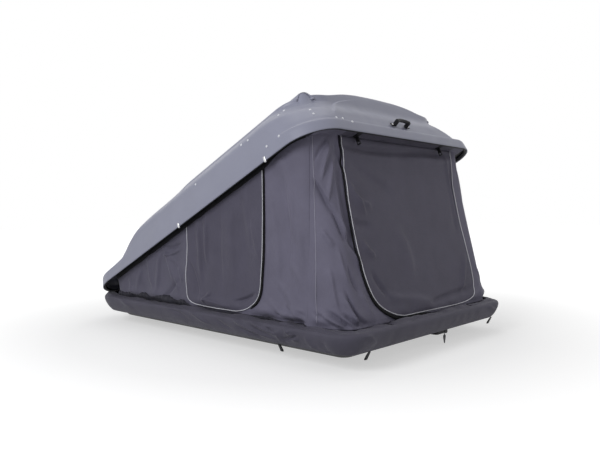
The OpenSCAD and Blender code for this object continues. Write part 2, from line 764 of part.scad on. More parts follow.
// Local frame of the handle: +X stands square out of the front of the lid
module handle_frame() {
    lid_open() translate([handle_face, handle_y, rim_z + handle_w]) rotate([0, -handle_slope, 0])
        translate([fit, 0, 0]) children();
}
module lid_handle() {
    r = handle_l / 2 / sin(handle_arc / 2);
    color("#141416") handle_frame() {
        translate([handle_out, 0, -r * cos(handle_arc / 2)]) rotate([90, 0, 90])
            rotate([0, 0, 90 - handle_arc / 2]) rotate_extrude(angle = handle_arc)
                translate([r, 0]) circle(r = grip_r);
        for (end = [-1, 1]) {
            translate([0, end * (handle_l / 2 - 4), 0]) rotate([0, 90, 0])
                cylinder(r = foot_r, h = handle_out + 4);
            translate([0, end * (handle_l / 2 + tab_l / 2), -foot_r + 2])
                translate([0, -tab_l / 2, 0]) cube([tab_t, tab_l, 2 * foot_r - 4]);
        }
    }
}

module handle_screws() {
    color("#c6c8ca") handle_frame() for (end = [-1, 1])
        translate([tab_t, end * (handle_l / 2 + tab_l - 8), 0]) rotate([0, 90, 0])
            cylinder(r1 = 5, r2 = 3.5, h = 3);
}

// Catches under the front rim, which drop over the lock rods
catch_tab = 8;
module lid_catches() {
    arm = [rim_z + 11.5, rim_z + 17];
    plate_top = arm[1] + 14;
    face = lid_x0 + tent_l - front_in(plate_top - rim_z) - lid_wall - fit;
    color("#1a1a1c") lid_open() for (side = [-1, 1]) difference() {
        union() {
            span([rod_x - 8, side * catch_y - catch_tab / 2, rod_z - 9],
                [rod_x + 8, side * catch_y + catch_tab / 2, arm[1]]);
            span([rod_x - 8, side * catch_y - 14, arm[0]], [face, side * catch_y + 14, arm[1]]);
            span([face - 3, side * catch_y - 20, arm[0]], [face, side * catch_y + 20, plate_top]);
        }
        bar_y(rod_x, rod_z, bolt_rod_r + 1.2, side * catch_y - catch_tab, side * catch_y + catch_tab);
    }
}

// Fabric

// Tube along a path in a surface whose outward direction is known
module tube(path, r, sides, out, squash = 1) {
    last = len(path) - 1;
    rings = [for (i = [0:last])
        let (t0 = path[min(i + 1, last)] - path[max(i - 1, 0)], t = t0 / norm(t0),
            b0 = cross(out, t), b = b0 / norm(b0), n = cross(t, b))
        [for (k = [0:sides - 1]) let (a = 360 * k / sides + 180 / sides)
            path[i] + r * cos(a) * b + r * squash * sin(a) * n]];
    skin(rings);
}

// Top line of the fabric on the lid, on the flange inside its rim
fabric_in = 50;
fabric_front_in = 72;
fabric_h = 17.5;
top_front = lid_x0 + tent_l - fabric_front_in;
top_half = half_w - fabric_in;
top_r = rim_front_r - fabric_in;
function side_top_z(x) = hinge_z + (x - hinge_x) * tan(open_angle)
    + (rim_z + fabric_h - hinge_z) / cos(open_angle);
function closed_x(x) = hinge_x + (x - hinge_x) / cos(open_angle);
// Foot of the walls on the ledge
foot_z = ledge_z + fit;
foot_half = half_w - foot_inset;
foot_front = half_l - ledge_in - foot_inset;
wall_rear = -half_l + 110;
// Seams between the side walls and the front wall
seam_angle = 45;
seam_top = open_pt([top_front - top_r + top_r * cos(seam_angle),
    -(top_half - top_r) - top_r * sin(seam_angle), rim_z + fabric_h]);
seam_x = seam_top.x;

// Outward reach of a quarter turn that starts at a radius from the side
function turn_y(half, r, past) = past <= 0 ? half : half - r + sqrt(max(0, r * r - past * past));
// Outward reach of a side wall at its foot and at its top, which turn in with the tray and the lid
function side_foot_y(x) = turn_y(foot_half, tray_rear_r - foot_inset, -half_l + tray_rear_r - x);
function side_top_y(x) = min(
    turn_y(top_half, top_r, closed_x(x) - (top_front - top_r)),
    turn_y(top_half, rim_rear_r - fabric_in, lid_x0 + rim_rear_r - closed_x(x)));
function side_fold(x, v) = let (free = min(1, (seam_x - x) / 180))
    -fold_depth * sin(180 * v) * (0.6 + free * (0.5 * sin(360 * x / 290) + 0.35 * sin(360 * x / 173 + 70 * v)));
function side_pt(x, v, out) =
    [x, -(lerp(side_foot_y(x), side_top_y(x), v) + side_fold(x, v) + out), lerp(foot_z, side_top_z(x), v)];
// Place on a side wall at a height
function side_at(x, z, out) = side_pt(x, (z - foot_z) / (side_top_z(x) - foot_z), out);

// Foot and top of the front wall from the left seam at 0 to the right seam at 1
corner_share = 0.16;
foot_corner = [foot_front - seam_x, 110];
function front_end(s) = min(1, (s <= 0.5 ? s : 1 - s) / corner_share);
function front_foot(s) = let (a = 90 * front_end(s), side = s <= 0.5 ? -1 : 1,
        y = s <= corner_share || s >= 1 - corner_share
            ? side * (foot_half - foot_corner.y + foot_corner.y * cos(a))
            : (foot_half - foot_corner.y) * (s - 0.5) / (0.5 - corner_share))
    [seam_x + foot_corner.x * sin(a), y, foot_z];
function front_top(s) = let (a = seam_angle * (1 - front_end(s)), side = s <= 0.5 ? -1 : 1,
        y = s <= corner_share || s >= 1 - corner_share
            ? side * (top_half - top_r + top_r * sin(a))
            : (top_half - top_r) * (s - 0.5) / (0.5 - corner_share))
    open_pt([top_front - top_r + top_r * cos(a), y, rim_z + fabric_h]);
function front_out(s) = let (a = 90 * front_end(s), side = s <= 0.5 ? -1 : 1) [sin(a), side * cos(a), 0.15];
function front_fold(s, v) = let (free = front_end(s))
    -fold_depth * sin(180 * v) * (0.6 + free * (1 - 0.6 * free) * 0.9 * sin(700 * s + 120 * v));
function front_pt(s, v, out) = lerp(front_foot(s), front_top(s), v)
    + front_out(s) / norm(front_out(s)) * (front_fold(s, v) + out);
// Place on the flat middle of the front wall at a sideways place and a height
function front_s(y, v) = let (half = lerp(foot_half - foot_corner.y, top_half - top_r, v))
    0.5 + y / half * (0.5 - corner_share);
function front_at(y, z, out) = let (v = (z - foot_z) / (front_top(0.5).z - foot_z))
    front_pt(front_s(y, v), v, out);

// Thin solid between an outer and an inner grid of points
module sheet(outer, inner) {
    m = len(outer);
    n = len(outer[0]);
    ring = concat([for (j = [0:n - 1]) j], [for (i = [1:m - 1]) i * n + n - 1],
        [for (j = [n - 2:-1:0]) (m - 1) * n + j], [for (i = [m - 2:-1:1]) i * n]);
    half = m * n;
    front = [for (i = [0:m - 2], j = [0:n - 2]) let (a = i * n + j, b = a + 1, c = a + n + 1, d = a + n)
        each [[a, b, c], [a, c, d]]];
    back = [for (f = front) [f[0] + half, f[2] + half, f[1] + half]];
    rim = [for (k = [0:len(ring) - 1]) let (a = ring[k], b = ring[(k + 1) % len(ring)])
        each [[b, a, a + half], [b, a + half, b + half]]];
    polyhedron(concat(flat(outer), flat(inner)), concat(front, back, rim));
}

side_cols = 30;
front_cols = 36;
wall_rows = 9;
module side_wall() {
    function grid(out) = [for (i = [0:side_cols]) [for (j = [0:wall_rows])
        side_pt(lerp(wall_rear, seam_x - 1, i / side_cols), j / wall_rows, out)]];
    sheet(grid(0), grid(-cloth));
}
module wall_left() {
    color("#4a4951") side_wall();
}
module wall_right() {
    color("#4a4951") on_side(1) side_wall();
}
module wall_front() {
    function grid(out) = [for (i = [0:front_cols]) [for (j = [0:wall_rows])
        front_pt(lerp(0.004, 0.996, i / front_cols), j / wall_rows, out)]];
    color("#4a4951") sheet(grid(0), grid(-cloth));
}

// Doors: flaps over the walls, with round lower corners
door_gap = 2.4;
door_cols = 18;
door_rows = 8;
door_z = foot_z + door_foot;
top_gap = 6;
// Height of the lower edge of a door with a corner radius, at a distance from its nearer side
function door_low(d, r) = door_z + (d >= r ? 0 : r - sqrt(r * r - pow(r - d, 2)));
// Gap between a door and its wall, which closes where the door is sewn on along its top
sewn_gap = 0.6;
function flap_gap(t) = lerp(door_gap, sewn_gap, pow(t, 6));
// Steps across a door, closer together in its round corners
function door_step(t) = 0.5 - 0.5 * cos(180 * t);
function side_door_x(t) = lerp(side_door_x0, side_door_x1, t);
function side_door_low(x) = door_low(min(x - side_door_x0, side_door_x1 - x), door_r);
function front_door_low(y) = door_low(front_door_half - abs(y), front_door_r);
front_door_top = front_top(0.5).z - top_gap;

module side_door() {
    function grid(out) = [for (i = [0:door_cols]) let (x = side_door_x(door_step(i / door_cols)))
        [for (j = [0:door_rows])
            side_at(x, lerp(side_door_low(x), side_top_z(x) - top_gap, j / door_rows),
                out + flap_gap(j / door_rows))]];
    color("#4d4c55") sheet(grid(cloth), grid(0));
}
module door_left() {
    side_door();
}
module door_right() {
    on_side(1) side_door();
}
module door_front() {
    function grid(out) = [for (i = [0:door_cols]) let (y = front_door_half * (2 * door_step(i / door_cols) - 1))
        [for (j = [0:door_rows]) front_at(y, lerp(front_door_low(y), front_door_top, j / door_rows),
            out + flap_gap(j / door_rows))]];
    color("#4d4c55") sheet(grid(cloth), grid(0));
}

// Route round a door at a margin inside its edge: down one side, across and up the other
route_side = 9;
route_low = 24;
function side_route(margin, out) = let (x0 = side_door_x0 + margin, x1 = side_door_x1 - margin,
        z0 = side_door_low(side_door_x0 + 0.001), z1 = side_door_low(side_door_x1 - 0.001),
        low = function (x) side_door_low(side_door_x0 + (x - x0) * (side_door_x1 - side_door_x0) / (x1 - x0)))
    concat(
        [for (i = [0:route_side - 1]) side_at(x0, lerp(side_top_z(x0) - top_gap, z0 + 4, i / route_side), out)],
        [for (i = [0:route_low]) let (x = lerp(x0, x1, door_step(i / route_low)))
            side_at(x, low(x) + margin, out)],
        [for (i = [1:route_side]) side_at(x1, lerp(z1 + 4, side_top_z(x1) - top_gap, i / route_side), out)]);
function front_route(margin, out) = let (h = front_door_half - margin,
        low = function (y) front_door_low(y * front_door_half / h), z0 = front_door_low(front_door_half))
    concat(
        [for (i = [0:route_side - 1]) front_at(-h, lerp(front_door_top, z0 + 4, i / route_side), out)],
        [for (i = [0:route_low]) let (y = h * (2 * door_step(i / route_low) - 1))
            front_at(y, low(y) + margin, out)],
        [for (i = [1:route_side]) front_at(h, lerp(z0 + 4, front_door_top, i / route_side), out)]);

// Piping lies on the door along its edge, and the zip tape runs beside it
pipe_margin = piping_r + 2;
pipe_out = door_gap + cloth + piping_r + fit;
zip_margin = 2 * pipe_margin + zip_w / 2;
zip_out = door_gap + cloth + 1.8;
module piping_side() {
    tube(side_route(pipe_margin, pipe_out), piping_r, 6, [0, -1, 0]);
}
module zip_side() {
    tube(side_route(zip_margin, zip_out), zip_w / 2, 4, [0, -1, 0], 0.18);
}
module piping_left() {
    color("#c3c4c8") piping_side();
}
module piping_right() {
    color("#c3c4c8") on_side(1) piping_side();
}
module piping_front() {
    color("#c3c4c8") tube(front_route(pipe_margin, pipe_out), piping_r, 6, [1, 0, 0]);
}
module zip_left() {
    color("#0f0f11") zip_side();
}
module zip_right() {
    color("#0f0f11") on_side(1) zip_side();
}
module zip_front() {
    color("#0f0f11") tube(front_route(zip_margin, zip_out), zip_w / 2, 4, [1, 0, 0], 0.18);
}

base_tray();
floor_panel();
cross_beams();
mattress();
mounting_rail(-1);  // mounting_rail_left
mounting_rail(1);  // mounting_rail_right
rail_end_caps();
rail_bolts();
skirt();
skirt_hooks();
hinge_base_leaf(-1);  // hinge_base_leaf_left
hinge_base_leaf(1);  // hinge_base_leaf_right
hinge_pin(-1);  // hinge_pin_left
hinge_pin(1);  // hinge_pin_right
hinge_lid_leaf(-1);  // hinge_lid_leaf_left
hinge_lid_leaf(1);  // hinge_lid_leaf_right
strut_base_bracket(-1);  // strut_base_bracket_left
strut_base_bracket(1);  // strut_base_bracket_right
strut_cylinder(-1);  // strut_cylinder_left
strut_cylinder(1);  // strut_cylinder_right
strut_rod(-1);  // strut_rod_left
strut_rod(1);  // strut_rod_right
strut_lid_bracket(-1);  // strut_lid_bracket_left
strut_lid_bracket(1);  // strut_lid_bracket_right
lock_housing();
lock_plug();
key();
lock_rod(-1);  // lock_rod_left
lock_rod(1);  // lock_rod_right
rod_guides();
lid_shell();
lid_seal();
fabric_rail();
lid_handle();
handle_screws();
lid_catches();
wall_left();
wall_right();
wall_front();
door_left();
door_right();
door_front();
piping_left();
piping_right();
piping_front();
zip_left();
zip_right();
zip_front();
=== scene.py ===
"""Dressed scene of a roof top tent: moulded lid, fabric walls and doors, skirt and hardware."""

from math import cos, pi, radians, sin, tan

import bmesh
import bpy
import numpy as np
from mathutils import Matrix, Vector, noise


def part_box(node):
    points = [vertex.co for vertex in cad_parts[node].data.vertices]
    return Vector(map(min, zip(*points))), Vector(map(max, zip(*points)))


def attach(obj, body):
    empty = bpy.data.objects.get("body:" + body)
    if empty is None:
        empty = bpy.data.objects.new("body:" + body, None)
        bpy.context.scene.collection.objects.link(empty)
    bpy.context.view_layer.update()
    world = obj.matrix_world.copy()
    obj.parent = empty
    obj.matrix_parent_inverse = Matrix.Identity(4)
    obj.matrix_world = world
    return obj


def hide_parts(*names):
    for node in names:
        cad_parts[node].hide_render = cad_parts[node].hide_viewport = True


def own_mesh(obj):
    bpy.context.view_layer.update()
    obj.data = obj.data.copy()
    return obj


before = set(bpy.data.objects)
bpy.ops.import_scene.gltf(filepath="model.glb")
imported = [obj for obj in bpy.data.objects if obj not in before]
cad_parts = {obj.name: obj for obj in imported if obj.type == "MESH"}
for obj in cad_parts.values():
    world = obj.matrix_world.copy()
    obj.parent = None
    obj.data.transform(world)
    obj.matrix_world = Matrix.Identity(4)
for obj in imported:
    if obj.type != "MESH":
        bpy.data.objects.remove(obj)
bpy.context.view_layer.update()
scene = bpy.context.scene

# Sizes in metres, the same as those of the solids
TENT_L = 2.1
HALF_L = 1.05
HALF_W = 0.708
OPEN = radians(24.2)
LEDGE_Z = 0.1708
RIM_Z = 0.172
LID_X0 = -1.0575
HINGE_X = -1.0025
HINGE_Z = 0.1785


def open_pt(p):
    """Turns points of the closed lid to the open pose."""
    p = np.asarray(p, float)
    dx = p[..., 0] - HINGE_X
    dz = p[..., 2] - HINGE_Z
    x = HINGE_X + dx * cos(OPEN) - dz * sin(OPEN)
    z = HINGE_Z + dx * sin(OPEN) + dz * cos(OPEN)
    return np.stack([x, p[..., 1], z], axis=-1)


def smooth(a, b, x):
    """Smooth step from 0 at a to 1 at b."""
    t = np.clip((np.asarray(x, float) - a) / (b - a), 0, 1)
    return t * t * (3 - 2 * t)


def easy_curve(x, y, xs):
    """Smooth curve through points that never overshoots them."""
    x = np.asarray(x, float)
    y = np.asarray(y, float)
    h = np.diff(x)
    d = np.diff(y) / h
    m = np.zeros_like(y)
    m[0] = d[0]
    m[-1] = d[-1]
    for i in range(1, len(x) - 1):
        if d[i - 1] * d[i] > 0:
            w1 = 2 * h[i] + h[i - 1]
            w2 = h[i] + 2 * h[i - 1]
            m[i] = (w1 + w2) / (w1 / d[i - 1] + w2 / d[i])
    k = np.clip(np.searchsorted(x, xs, side="right") - 1, 0, len(h) - 1)
    t = (xs - x[k]) / h[k]
    return ((2 * t**3 - 3 * t**2 + 1) * y[k] + (t**3 - 2 * t**2 + t) * h[k] * m[k]
            + (-2 * t**3 + 3 * t**2) * y[k + 1] + (t**3 - t**2) * h[k] * m[k + 1])


def along(points, count):
    """Points spaced evenly along a smooth line through the given ones."""
    p = np.asarray(points, float)
    s = np.r_[0, np.cumsum(np.linalg.norm(np.diff(p, axis=0), axis=1))]
    fine = np.linspace(0, s[-1], 400)
    q = np.stack([easy_curve(s, p[:, i], fine) for i in range(p.shape[1])], axis=1)
    r = np.r_[0, np.cumsum(np.linalg.norm(np.diff(q, axis=0), axis=1))]
    even = np.linspace(0, r[-1], count)
    return np.stack([np.interp(even, r, q[:, i]) for i in range(p.shape[1])], axis=1)


def noise_at(points, scale, seed):
    """Soft noise between about -1 and 1 at each point."""
    offset = Vector((seed * 7.3, seed * 3.1, seed * 5.7))
    flat = np.asarray(points, float).reshape(-1, 3)
    out = [noise.noise(Vector((float(p[0]) * scale, float(p[1]) * scale, float(p[2]) * scale)) + offset)
           for p in flat]
    return np.array(out).reshape(np.asarray(points).shape[:-1])


# Meshes

def add_object(name, data):
    """A new object, put into the scene."""
    obj = bpy.data.objects.new(name, data)
    scene.collection.objects.link(obj)
    return obj


def plain_mesh(name, verts, faces):
    mesh = bpy.data.meshes.new(name)
    mesh.from_pydata([tuple(map(float, v)) for v in verts], [], [tuple(map(int, f)) for f in faces])
    return mesh


def new_piece(name, verts, faces, material, body):
    """A smooth mesh piece that rides on a body."""
    mesh = plain_mesh(name, verts, faces)
    bm = bmesh.new()
    bm.from_mesh(mesh)
    bmesh.ops.recalc_face_normals(bm, faces=bm.faces)
    bm.to_mesh(mesh)
    bm.free()
    mesh.polygons.foreach_set("use_smooth", [True] * len(mesh.polygons))
    mesh.materials.append(material)
    obj = add_object(name, mesh)
    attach(obj, body)
    return obj


def ring_faces(rings, count):
    """Quads between closed rings of count points."""
    out = []
    for k in range(rings - 1):
        a = k * count
        for j in range(count):
            n = (j + 1) % count
            out.append((a + j, a + n, a + count + n, a + count + j))
    return out


def capped_rings(rings):
    """Closed skin over rings of points, with a flat face at each end."""
    count = len(rings[0])
    last = (len(rings) - 1) * count
    faces = ring_faces(len(rings), count)
    faces.append(tuple(reversed(range(count))))
    faces.append(tuple(last + j for j in range(count)))
    return np.concatenate(rings), faces


def round_rect(ends, half, radii, arc, gaps, z, pull=0.0):
    """Ring round a rectangle with round corners, from the front right one on.

    Ends and radii go from the hinge end to the opening end. Gaps are counts of points between
    corners, where the ring can be pulled inwards in the middle.
    """
    (x0, x1), (rr, rf) = ends, radii
    quarter = np.linspace(0, pi / 2, arc + 1)
    corners = ((x1 - rf, half - rf, rf), (x0 + rr, half - rr, rr),
               (x0 + rr, rr - half, rr), (x1 - rf, rf - half, rf))
    arcs = []
    for k, (cx, cy, r) in enumerate(corners):
        a = quarter + k * pi / 2
        arcs.append(np.stack([cx + r * np.cos(a), cy + r * np.sin(a)], axis=1))
    out = []
    for k, gap in enumerate(gaps):
        p, q = arcs[k][-1], arcs[(k + 1) % 4][0]
        t = np.linspace(0, 1, gap + 2)[1:-1, None]
        inward = -np.array([cos((k + 1) * pi / 2), sin((k + 1) * pi / 2)])
        out += [arcs[k], p * (1 - t) + q * t + pull * np.sin(pi * t) * inward]
    xy = np.concatenate(out)
    return np.c_[xy, np.full(len(xy), z)]


def grid_faces(rows, cols):
    """Quads between the points of a grid."""
    out = []
    for i in range(rows - 1):
        for j in range(cols - 1):
            a = i * cols + j
            out.append((a, a + 1, a + cols + 1, a + cols))
    return out


def sheet_mesh(outer, inner):
    """Closed thin solid between two grids of points."""
    rows, cols = outer.shape[:2]
    verts = np.concatenate([outer.reshape(-1, 3), inner.reshape(-1, 3)])
    half = rows * cols
    front = grid_faces(rows, cols)
    back = [tuple(v + half for v in reversed(f)) for f in front]
    edge = (list(range(cols)) + [i * cols + cols - 1 for i in range(1, rows)]
            + [(rows - 1) * cols + j for j in range(cols - 2, -1, -1)]
            + [i * cols for i in range(rows - 2, 0, -1)])
    rim = []
    for k, a in enumerate(edge):
        b = edge[(k + 1) % len(edge)]
        rim.append((b, a, a + half, b + half))
    return verts, front + back + rim


def tube_mesh(path, toward, radius, sides, flat=1.0):
    """Tube along a path, flattened by a share in an outward direction."""
    path = np.asarray(path, float)
    t = np.gradient(path, axis=0)
    t /= np.linalg.norm(t, axis=1)[:, None]
    b = np.cross(np.asarray(toward, float), t)
    b /= np.linalg.norm(b, axis=1)[:, None]
    n = np.cross(t, b)
    radius = np.broadcast_to(radius, (len(path),))[:, None]
    verts = []
    for k in range(sides):
        a = 2 * pi * (k + 0.5) / sides
        verts.append(path + radius * cos(a) * b + radius * flat * sin(a) * n)
    verts = np.stack(verts, axis=1).reshape(-1, 3)
    faces = ring_faces(len(path), sides)
    last = (len(path) - 1) * sides
    faces.append(tuple(range(sides)))
    faces.append(tuple(last + k for k in reversed(range(sides))))
    return verts, faces


def soft_box(size, bevel, segments=3):
    """Vertices and faces of a box with round edges, centred on the origin."""
    bm = bmesh.new()
    bmesh.ops.create_cube(bm, size=1)
    bmesh.ops.scale(bm, vec=size, verts=bm.verts)
    bmesh.ops.bevel(bm, geom=list(bm.edges), offset=bevel, segments=segments, profile=0.5, affect="EDGES")
    verts = np.array([v.co[:] for v in bm.verts])
    bm.verts.index_update()
    faces = [tuple(v.index for v in f.verts) for f in bm.faces]
    bm.free()
    return verts, faces


def join_parts(parts):
    """One list of vertices and faces from several."""
    verts = []
    faces = []
    start = 0
    for v, f in parts:
        verts.append(np.asarray(v, float))
        faces.extend(tuple(i + start for i in face) for face in f)
        start += len(v)
    return np.concatenate(verts), faces


def cut_away(obj, verts, faces):
    """Takes closed shapes out of a piece."""
    shape = plain_mesh("cutter", verts, faces)
    cutter = add_object("cutter", shape)
    cut = obj.modifiers.new("cut", "BOOLEAN")
    cut.object = cutter
    cut.operation = "DIFFERENCE"
    cut.solver = "EXACT"
    whole = obj.data
    name = whole.name
    bpy.context.view_layer.update()
    depsgraph = bpy.context.evaluated_depsgraph_get()
    left = bpy.data.meshes.new_from_object(obj.evaluated_get(depsgraph))
    obj.modifiers.clear()
    obj.data = left
    bpy.data.meshes.remove(whole)
    bpy.data.objects.remove(cutter)
    bpy.data.meshes.remove(shape)
    left.name = name


# Materials

def base_material(name, rough, metallic=0.0):
    mat = bpy.data.materials.new(name)
    mat.use_nodes = True
    bsdf = mat.node_tree.nodes["Principled BSDF"]
    bsdf.inputs["Roughness"].default_value = rough
    bsdf.inputs["Metallic"].default_value = metallic
    return mat, mat.node_tree, bsdf


def add_node(tree, kind, **values):
    node = tree.nodes.new(kind)
    for key, value in values.items():
        if key in node.inputs:
            node.inputs[key].default_value = value
        else:
            setattr(node, key, value)
    return node


def wire(source, out, target, into):
    """Links an output of one shader node to an input of another."""
    source.id_data.links.new(source.outputs[out], target.inputs[into])


def texture(tree, coords, kind, **values):
    """Texture node laid out in the piece's own coordinates."""
    node = add_node(tree, "ShaderNodeTex" + kind, **values)
    wire(coords, "Object", node, "Vector")
    return node


def bumped(tree, source, out, strength, distance):
    """Bump node fed with a height."""
    node = add_node(tree, "ShaderNodeBump", Strength=strength, Distance=distance)
    wire(source, out, node, "Height")
    return node


def map_range(tree, source, target):
    """Node that carries one range of values over to another."""
    node = add_node(tree, "ShaderNodeMapRange")
    for side, (low, high) in (("From", source), ("To", target)):
        node.inputs[side + " Min"].default_value = low
        node.inputs[side + " Max"].default_value = high
    return node


def combined(tree, operation, parts):
    """Node that takes several outputs together, two at a time."""
    done, out = parts[0]
    for node, name in parts[1:]:
        step = add_node(tree, "ShaderNodeMath", operation=operation)
        wire(done, out, step, 0)
        wire(node, name, step, 1)
        done, out = step, "Value"
    return done


# Middle part of the noise, which holds nearly all of its values
NOISE_BAND = (0.3, 0.7)


def tinted(tree, bsdf, color, spread, scale, detail=4.0):
    """Base colour that varies softly over the surface."""
    coords = add_node(tree, "ShaderNodeTexCoord")
    cloud = texture(tree, coords, "Noise", Scale=scale, Detail=detail, Roughness=0.55)
    ramp = add_node(tree, "ShaderNodeValToRGB")
    for stop, place, sign in zip(ramp.color_ramp.elements, NOISE_BAND, (-1, 1)):
        stop.position = place
        stop.color = [c * (1 + sign * spread) for c in color] + [1]
    wire(cloud, "Fac", ramp, "Fac")
    wire(ramp, "Color", bsdf, "Base Color")
    return coords


def rough_band(tree, bsdf, coords, low, high, scale):
    """Roughness that varies between two values."""
    cloud = texture(tree, coords, "Noise", Scale=scale, Detail=3.0)
    band = map_range(tree, NOISE_BAND, (low, high))
    wire(cloud, "Fac", band, "Value")
    wire(band, "Result", bsdf, "Roughness")


def plastic(name, color, rough, grain=700.0, strength=0.12, spread=0.05, shine=0.5):
    """Moulded plastic with a fine grain."""
    mat, tree, bsdf = base_material(name, rough)
    bsdf.inputs["Specular IOR Level"].default_value = shine
    coords = tinted(tree, bsdf, color, spread, 6.0)
    rough_band(tree, bsdf, coords, rough - 0.05, rough + 0.06, 14.0)
    fine = texture(tree, coords, "Noise", Scale=grain, Detail=2.0)
    wire(bumped(tree, fine, "Fac", strength, 0.0006), "Normal", bsdf, "Normal")
    return mat


# Length of one wave of the wave texture at a scale of 1
WAVE_LENGTH = 0.314


def fabric(name, color, spread=0.1, thread=0.0024, sheen=0.1, shine=0.4):
    """Coated woven cloth with a plain weave and fine creases."""
    mat, tree, bsdf = base_material(name, 0.7)
    bsdf.inputs["Sheen Weight"].default_value = sheen
    bsdf.inputs["Sheen Roughness"].default_value = 0.4
    bsdf.inputs["Specular IOR Level"].default_value = shine
    coords = tinted(tree, bsdf, color, spread, 9.0, 6.0)
    waves = []
    for direction in ("X", "Y", "Z"):
        wave = texture(tree, coords, "Wave", Scale=WAVE_LENGTH / thread, bands_direction=direction)
        waves.append((wave, "Fac"))
    weave = bumped(tree, combined(tree, "ADD", waves), "Value", 0.35, 0.0004)
    crease = texture(tree, coords, "Noise", Scale=34.0, Detail=5.0, Roughness=0.6, Distortion=0.8)
    bump = bumped(tree, crease, "Fac", 0.25, 0.004)
    wire(weave, "Normal", bump, "Normal")
    wire(bump, "Normal", bsdf, "Normal")
    return mat


def metal(name, color, rough, brushed=True):
    mat, tree, bsdf = base_material(name, rough, 1.0)
    coords = tinted(tree, bsdf, color, 0.06, 40.0)
    scale = 160.0 if brushed else 30.0
    rough_band(tree, bsdf, coords, max(rough - 0.08, 0.05), rough + 0.1, scale)
    return mat


def wood(name, color):
    mat, tree, bsdf = base_material(name, 0.6)
    coords = tinted(tree, bsdf, color, 0.15, 5.0)
    wave = texture(tree, coords, "Wave", Scale=9.0, Distortion=6.0, Detail=3.0, bands_direction="Y")
    wire(bumped(tree, wave, "Fac", 0.2, 0.001), "Normal", bsdf, "Normal")
    return mat


LID_GREY = plastic("lid_plastic", (0.255, 0.262, 0.34), 0.42, 900.0, 0.08, 0.03)
TRAY_BLACK = plastic("tray_plastic", (0.03, 0.03, 0.034), 0.55)
# Black plastic of the black parts, also put on the fabric rail as painted shade under the rim
BLACK = plastic("black_plastic", (0.01, 0.01, 0.012), 0.5, shine=0.2)
RUBBER = plastic("seal_rubber", (0.012, 0.012, 0.013), 0.75, 400.0, 0.2)
PLYWOOD = wood("plywood", (0.35, 0.25, 0.14))
ALUMINIUM = metal("aluminium", (0.62, 0.63, 0.65), 0.38)
BRIGHT = metal("bright_steel", (0.6, 0.6, 0.61), 0.3)
BRACKET = metal("bracket_steel", (0.42, 0.43, 0.44), 0.42)
CHROME = metal("rod_chrome", (0.8, 0.8, 0.82), 0.14, False)
KEY_METAL = metal("key_metal", (0.06, 0.06, 0.065), 0.4)
ENAMEL = plastic("black_enamel", (0.016, 0.016, 0.018), 0.3, 300.0, 0.05)
RIVET_WHITE = plastic("rivet_head", (0.8, 0.81, 0.84), 0.3, 300.0, 0.03)
COVER = fabric("mattress_cover", (0.16, 0.16, 0.18), 0.08, 0.003)
SKIRT_CLOTH = fabric("skirt_cloth", (0.064, 0.06, 0.086), 0.1)
WALL_CLOTH = fabric("wall_cloth", (0.127, 0.12, 0.171), 0.09)
DOOR_CLOTH = fabric("door_cloth", (0.068, 0.063, 0.094), 0.09)
# Darker tone of the side walls behind the doors: painted shade of the lid's overhang on the wall cloth
REAR_SHADE_CLOTH = fabric("rear_cloth_painted_shade", (0.092, 0.087, 0.125), 0.09)
SEAM_CLOTH = fabric("seam_welt", (0.3, 0.29, 0.36), 0.08, 0.0016)
# Black cloth of the strip under the rim: partly a dark trim, partly painted shadow of the rim
RIM_TRIM_AND_SHADOW = fabric("rim_trim_and_shadow", (0.008, 0.008, 0.01), 0.1, 0.0016, sheen=0.0, shine=0.15)
# Dark cloth of the gathered strip at the wall's foot: partly a gathered edge, partly painted shade in the
# pooled folds
FOOT_GATHER_AND_SHADE = fabric("foot_gather_and_shade", (0.026, 0.025, 0.034), 0.3, 0.0016, sheen=0.02, shine=0.2)
PIPING = fabric("piping_cord", (0.68, 0.68, 0.73), 0.06, 0.0016)
ZIP = fabric("zip_tape", (0.004, 0.004, 0.005), 0.1, 0.0016, sheen=0.0, shine=0.1)


# Camera at the photograph's place

AZIMUTH = radians(43.451)
ELEVATION = radians(0.876)
ROLL = radians(-0.479)
CAMERA_AT = Vector((2.4577, -2.4691, 0.6416))
SENSOR_MM = 36.0
FOCAL_PX = 591.48
PICTURE_PX = 600
back = Vector((sin(AZIMUTH) * cos(ELEVATION), -cos(AZIMUTH) * cos(ELEVATION), sin(ELEVATION)))
right = (-back).cross(Vector((0, 0, 1))).normalized()
up = right.cross(-back)
right, up = right * cos(ROLL) + up * sin(ROLL), up * cos(ROLL) - right * sin(ROLL)
camera_data = bpy.data.cameras.new("camera")
camera_data.sensor_width = SENSOR_MM
camera_data.lens = FOCAL_PX / PICTURE_PX * SENSOR_MM
camera_data.clip_end = 100.0
camera = add_object("camera", camera_data)
turn = Matrix((right, up, back)).transposed().to_4x4()
camera.matrix_world = Matrix.Translation(CAMERA_AT) @ turn
scene.camera = camera


# Lid

# Sections from the rim to the crest: height, insets at the sides, the opening end and the hinge
# end, and corner radii at the opening end and the hinge end, in millimetres
LID_ROWS = np.array([
    [0, 0, 0, 0, 180, 290],
    [44, 6, 3, 3, 182, 290],
    [55, 8, 8, 12, 184, 288],
    [60, 9, 20, 155, 190, 250],
    [68, 10.5, 30, 300, 205, 205],
    [92, 15.5, 38, 372, 214, 185],
    [123, 21.5, 51, 428, 226, 180],
    [155, 28, 70, 498, 234, 185],
    [178, 47, 85, 562, 242, 195],
    [197, 71, 93, 632, 236, 205],
    [213, 95, 96, 706, 226, 220],
    [229, 114, 97, 788, 200, 240],
    [245, 126, 98, 872, 172, 260],
    [259, 203, 99, 962, 152, 270],
    [273, 306, 101, 1105, 140, 250],
    [284, 440, 106, 1200, 130, 180],
    [288, 520, 122, 1260, 120, 120],
]) / 1000.0
LID_WALL = 0.005
LID_STEPS = np.arange(len(LID_ROWS))
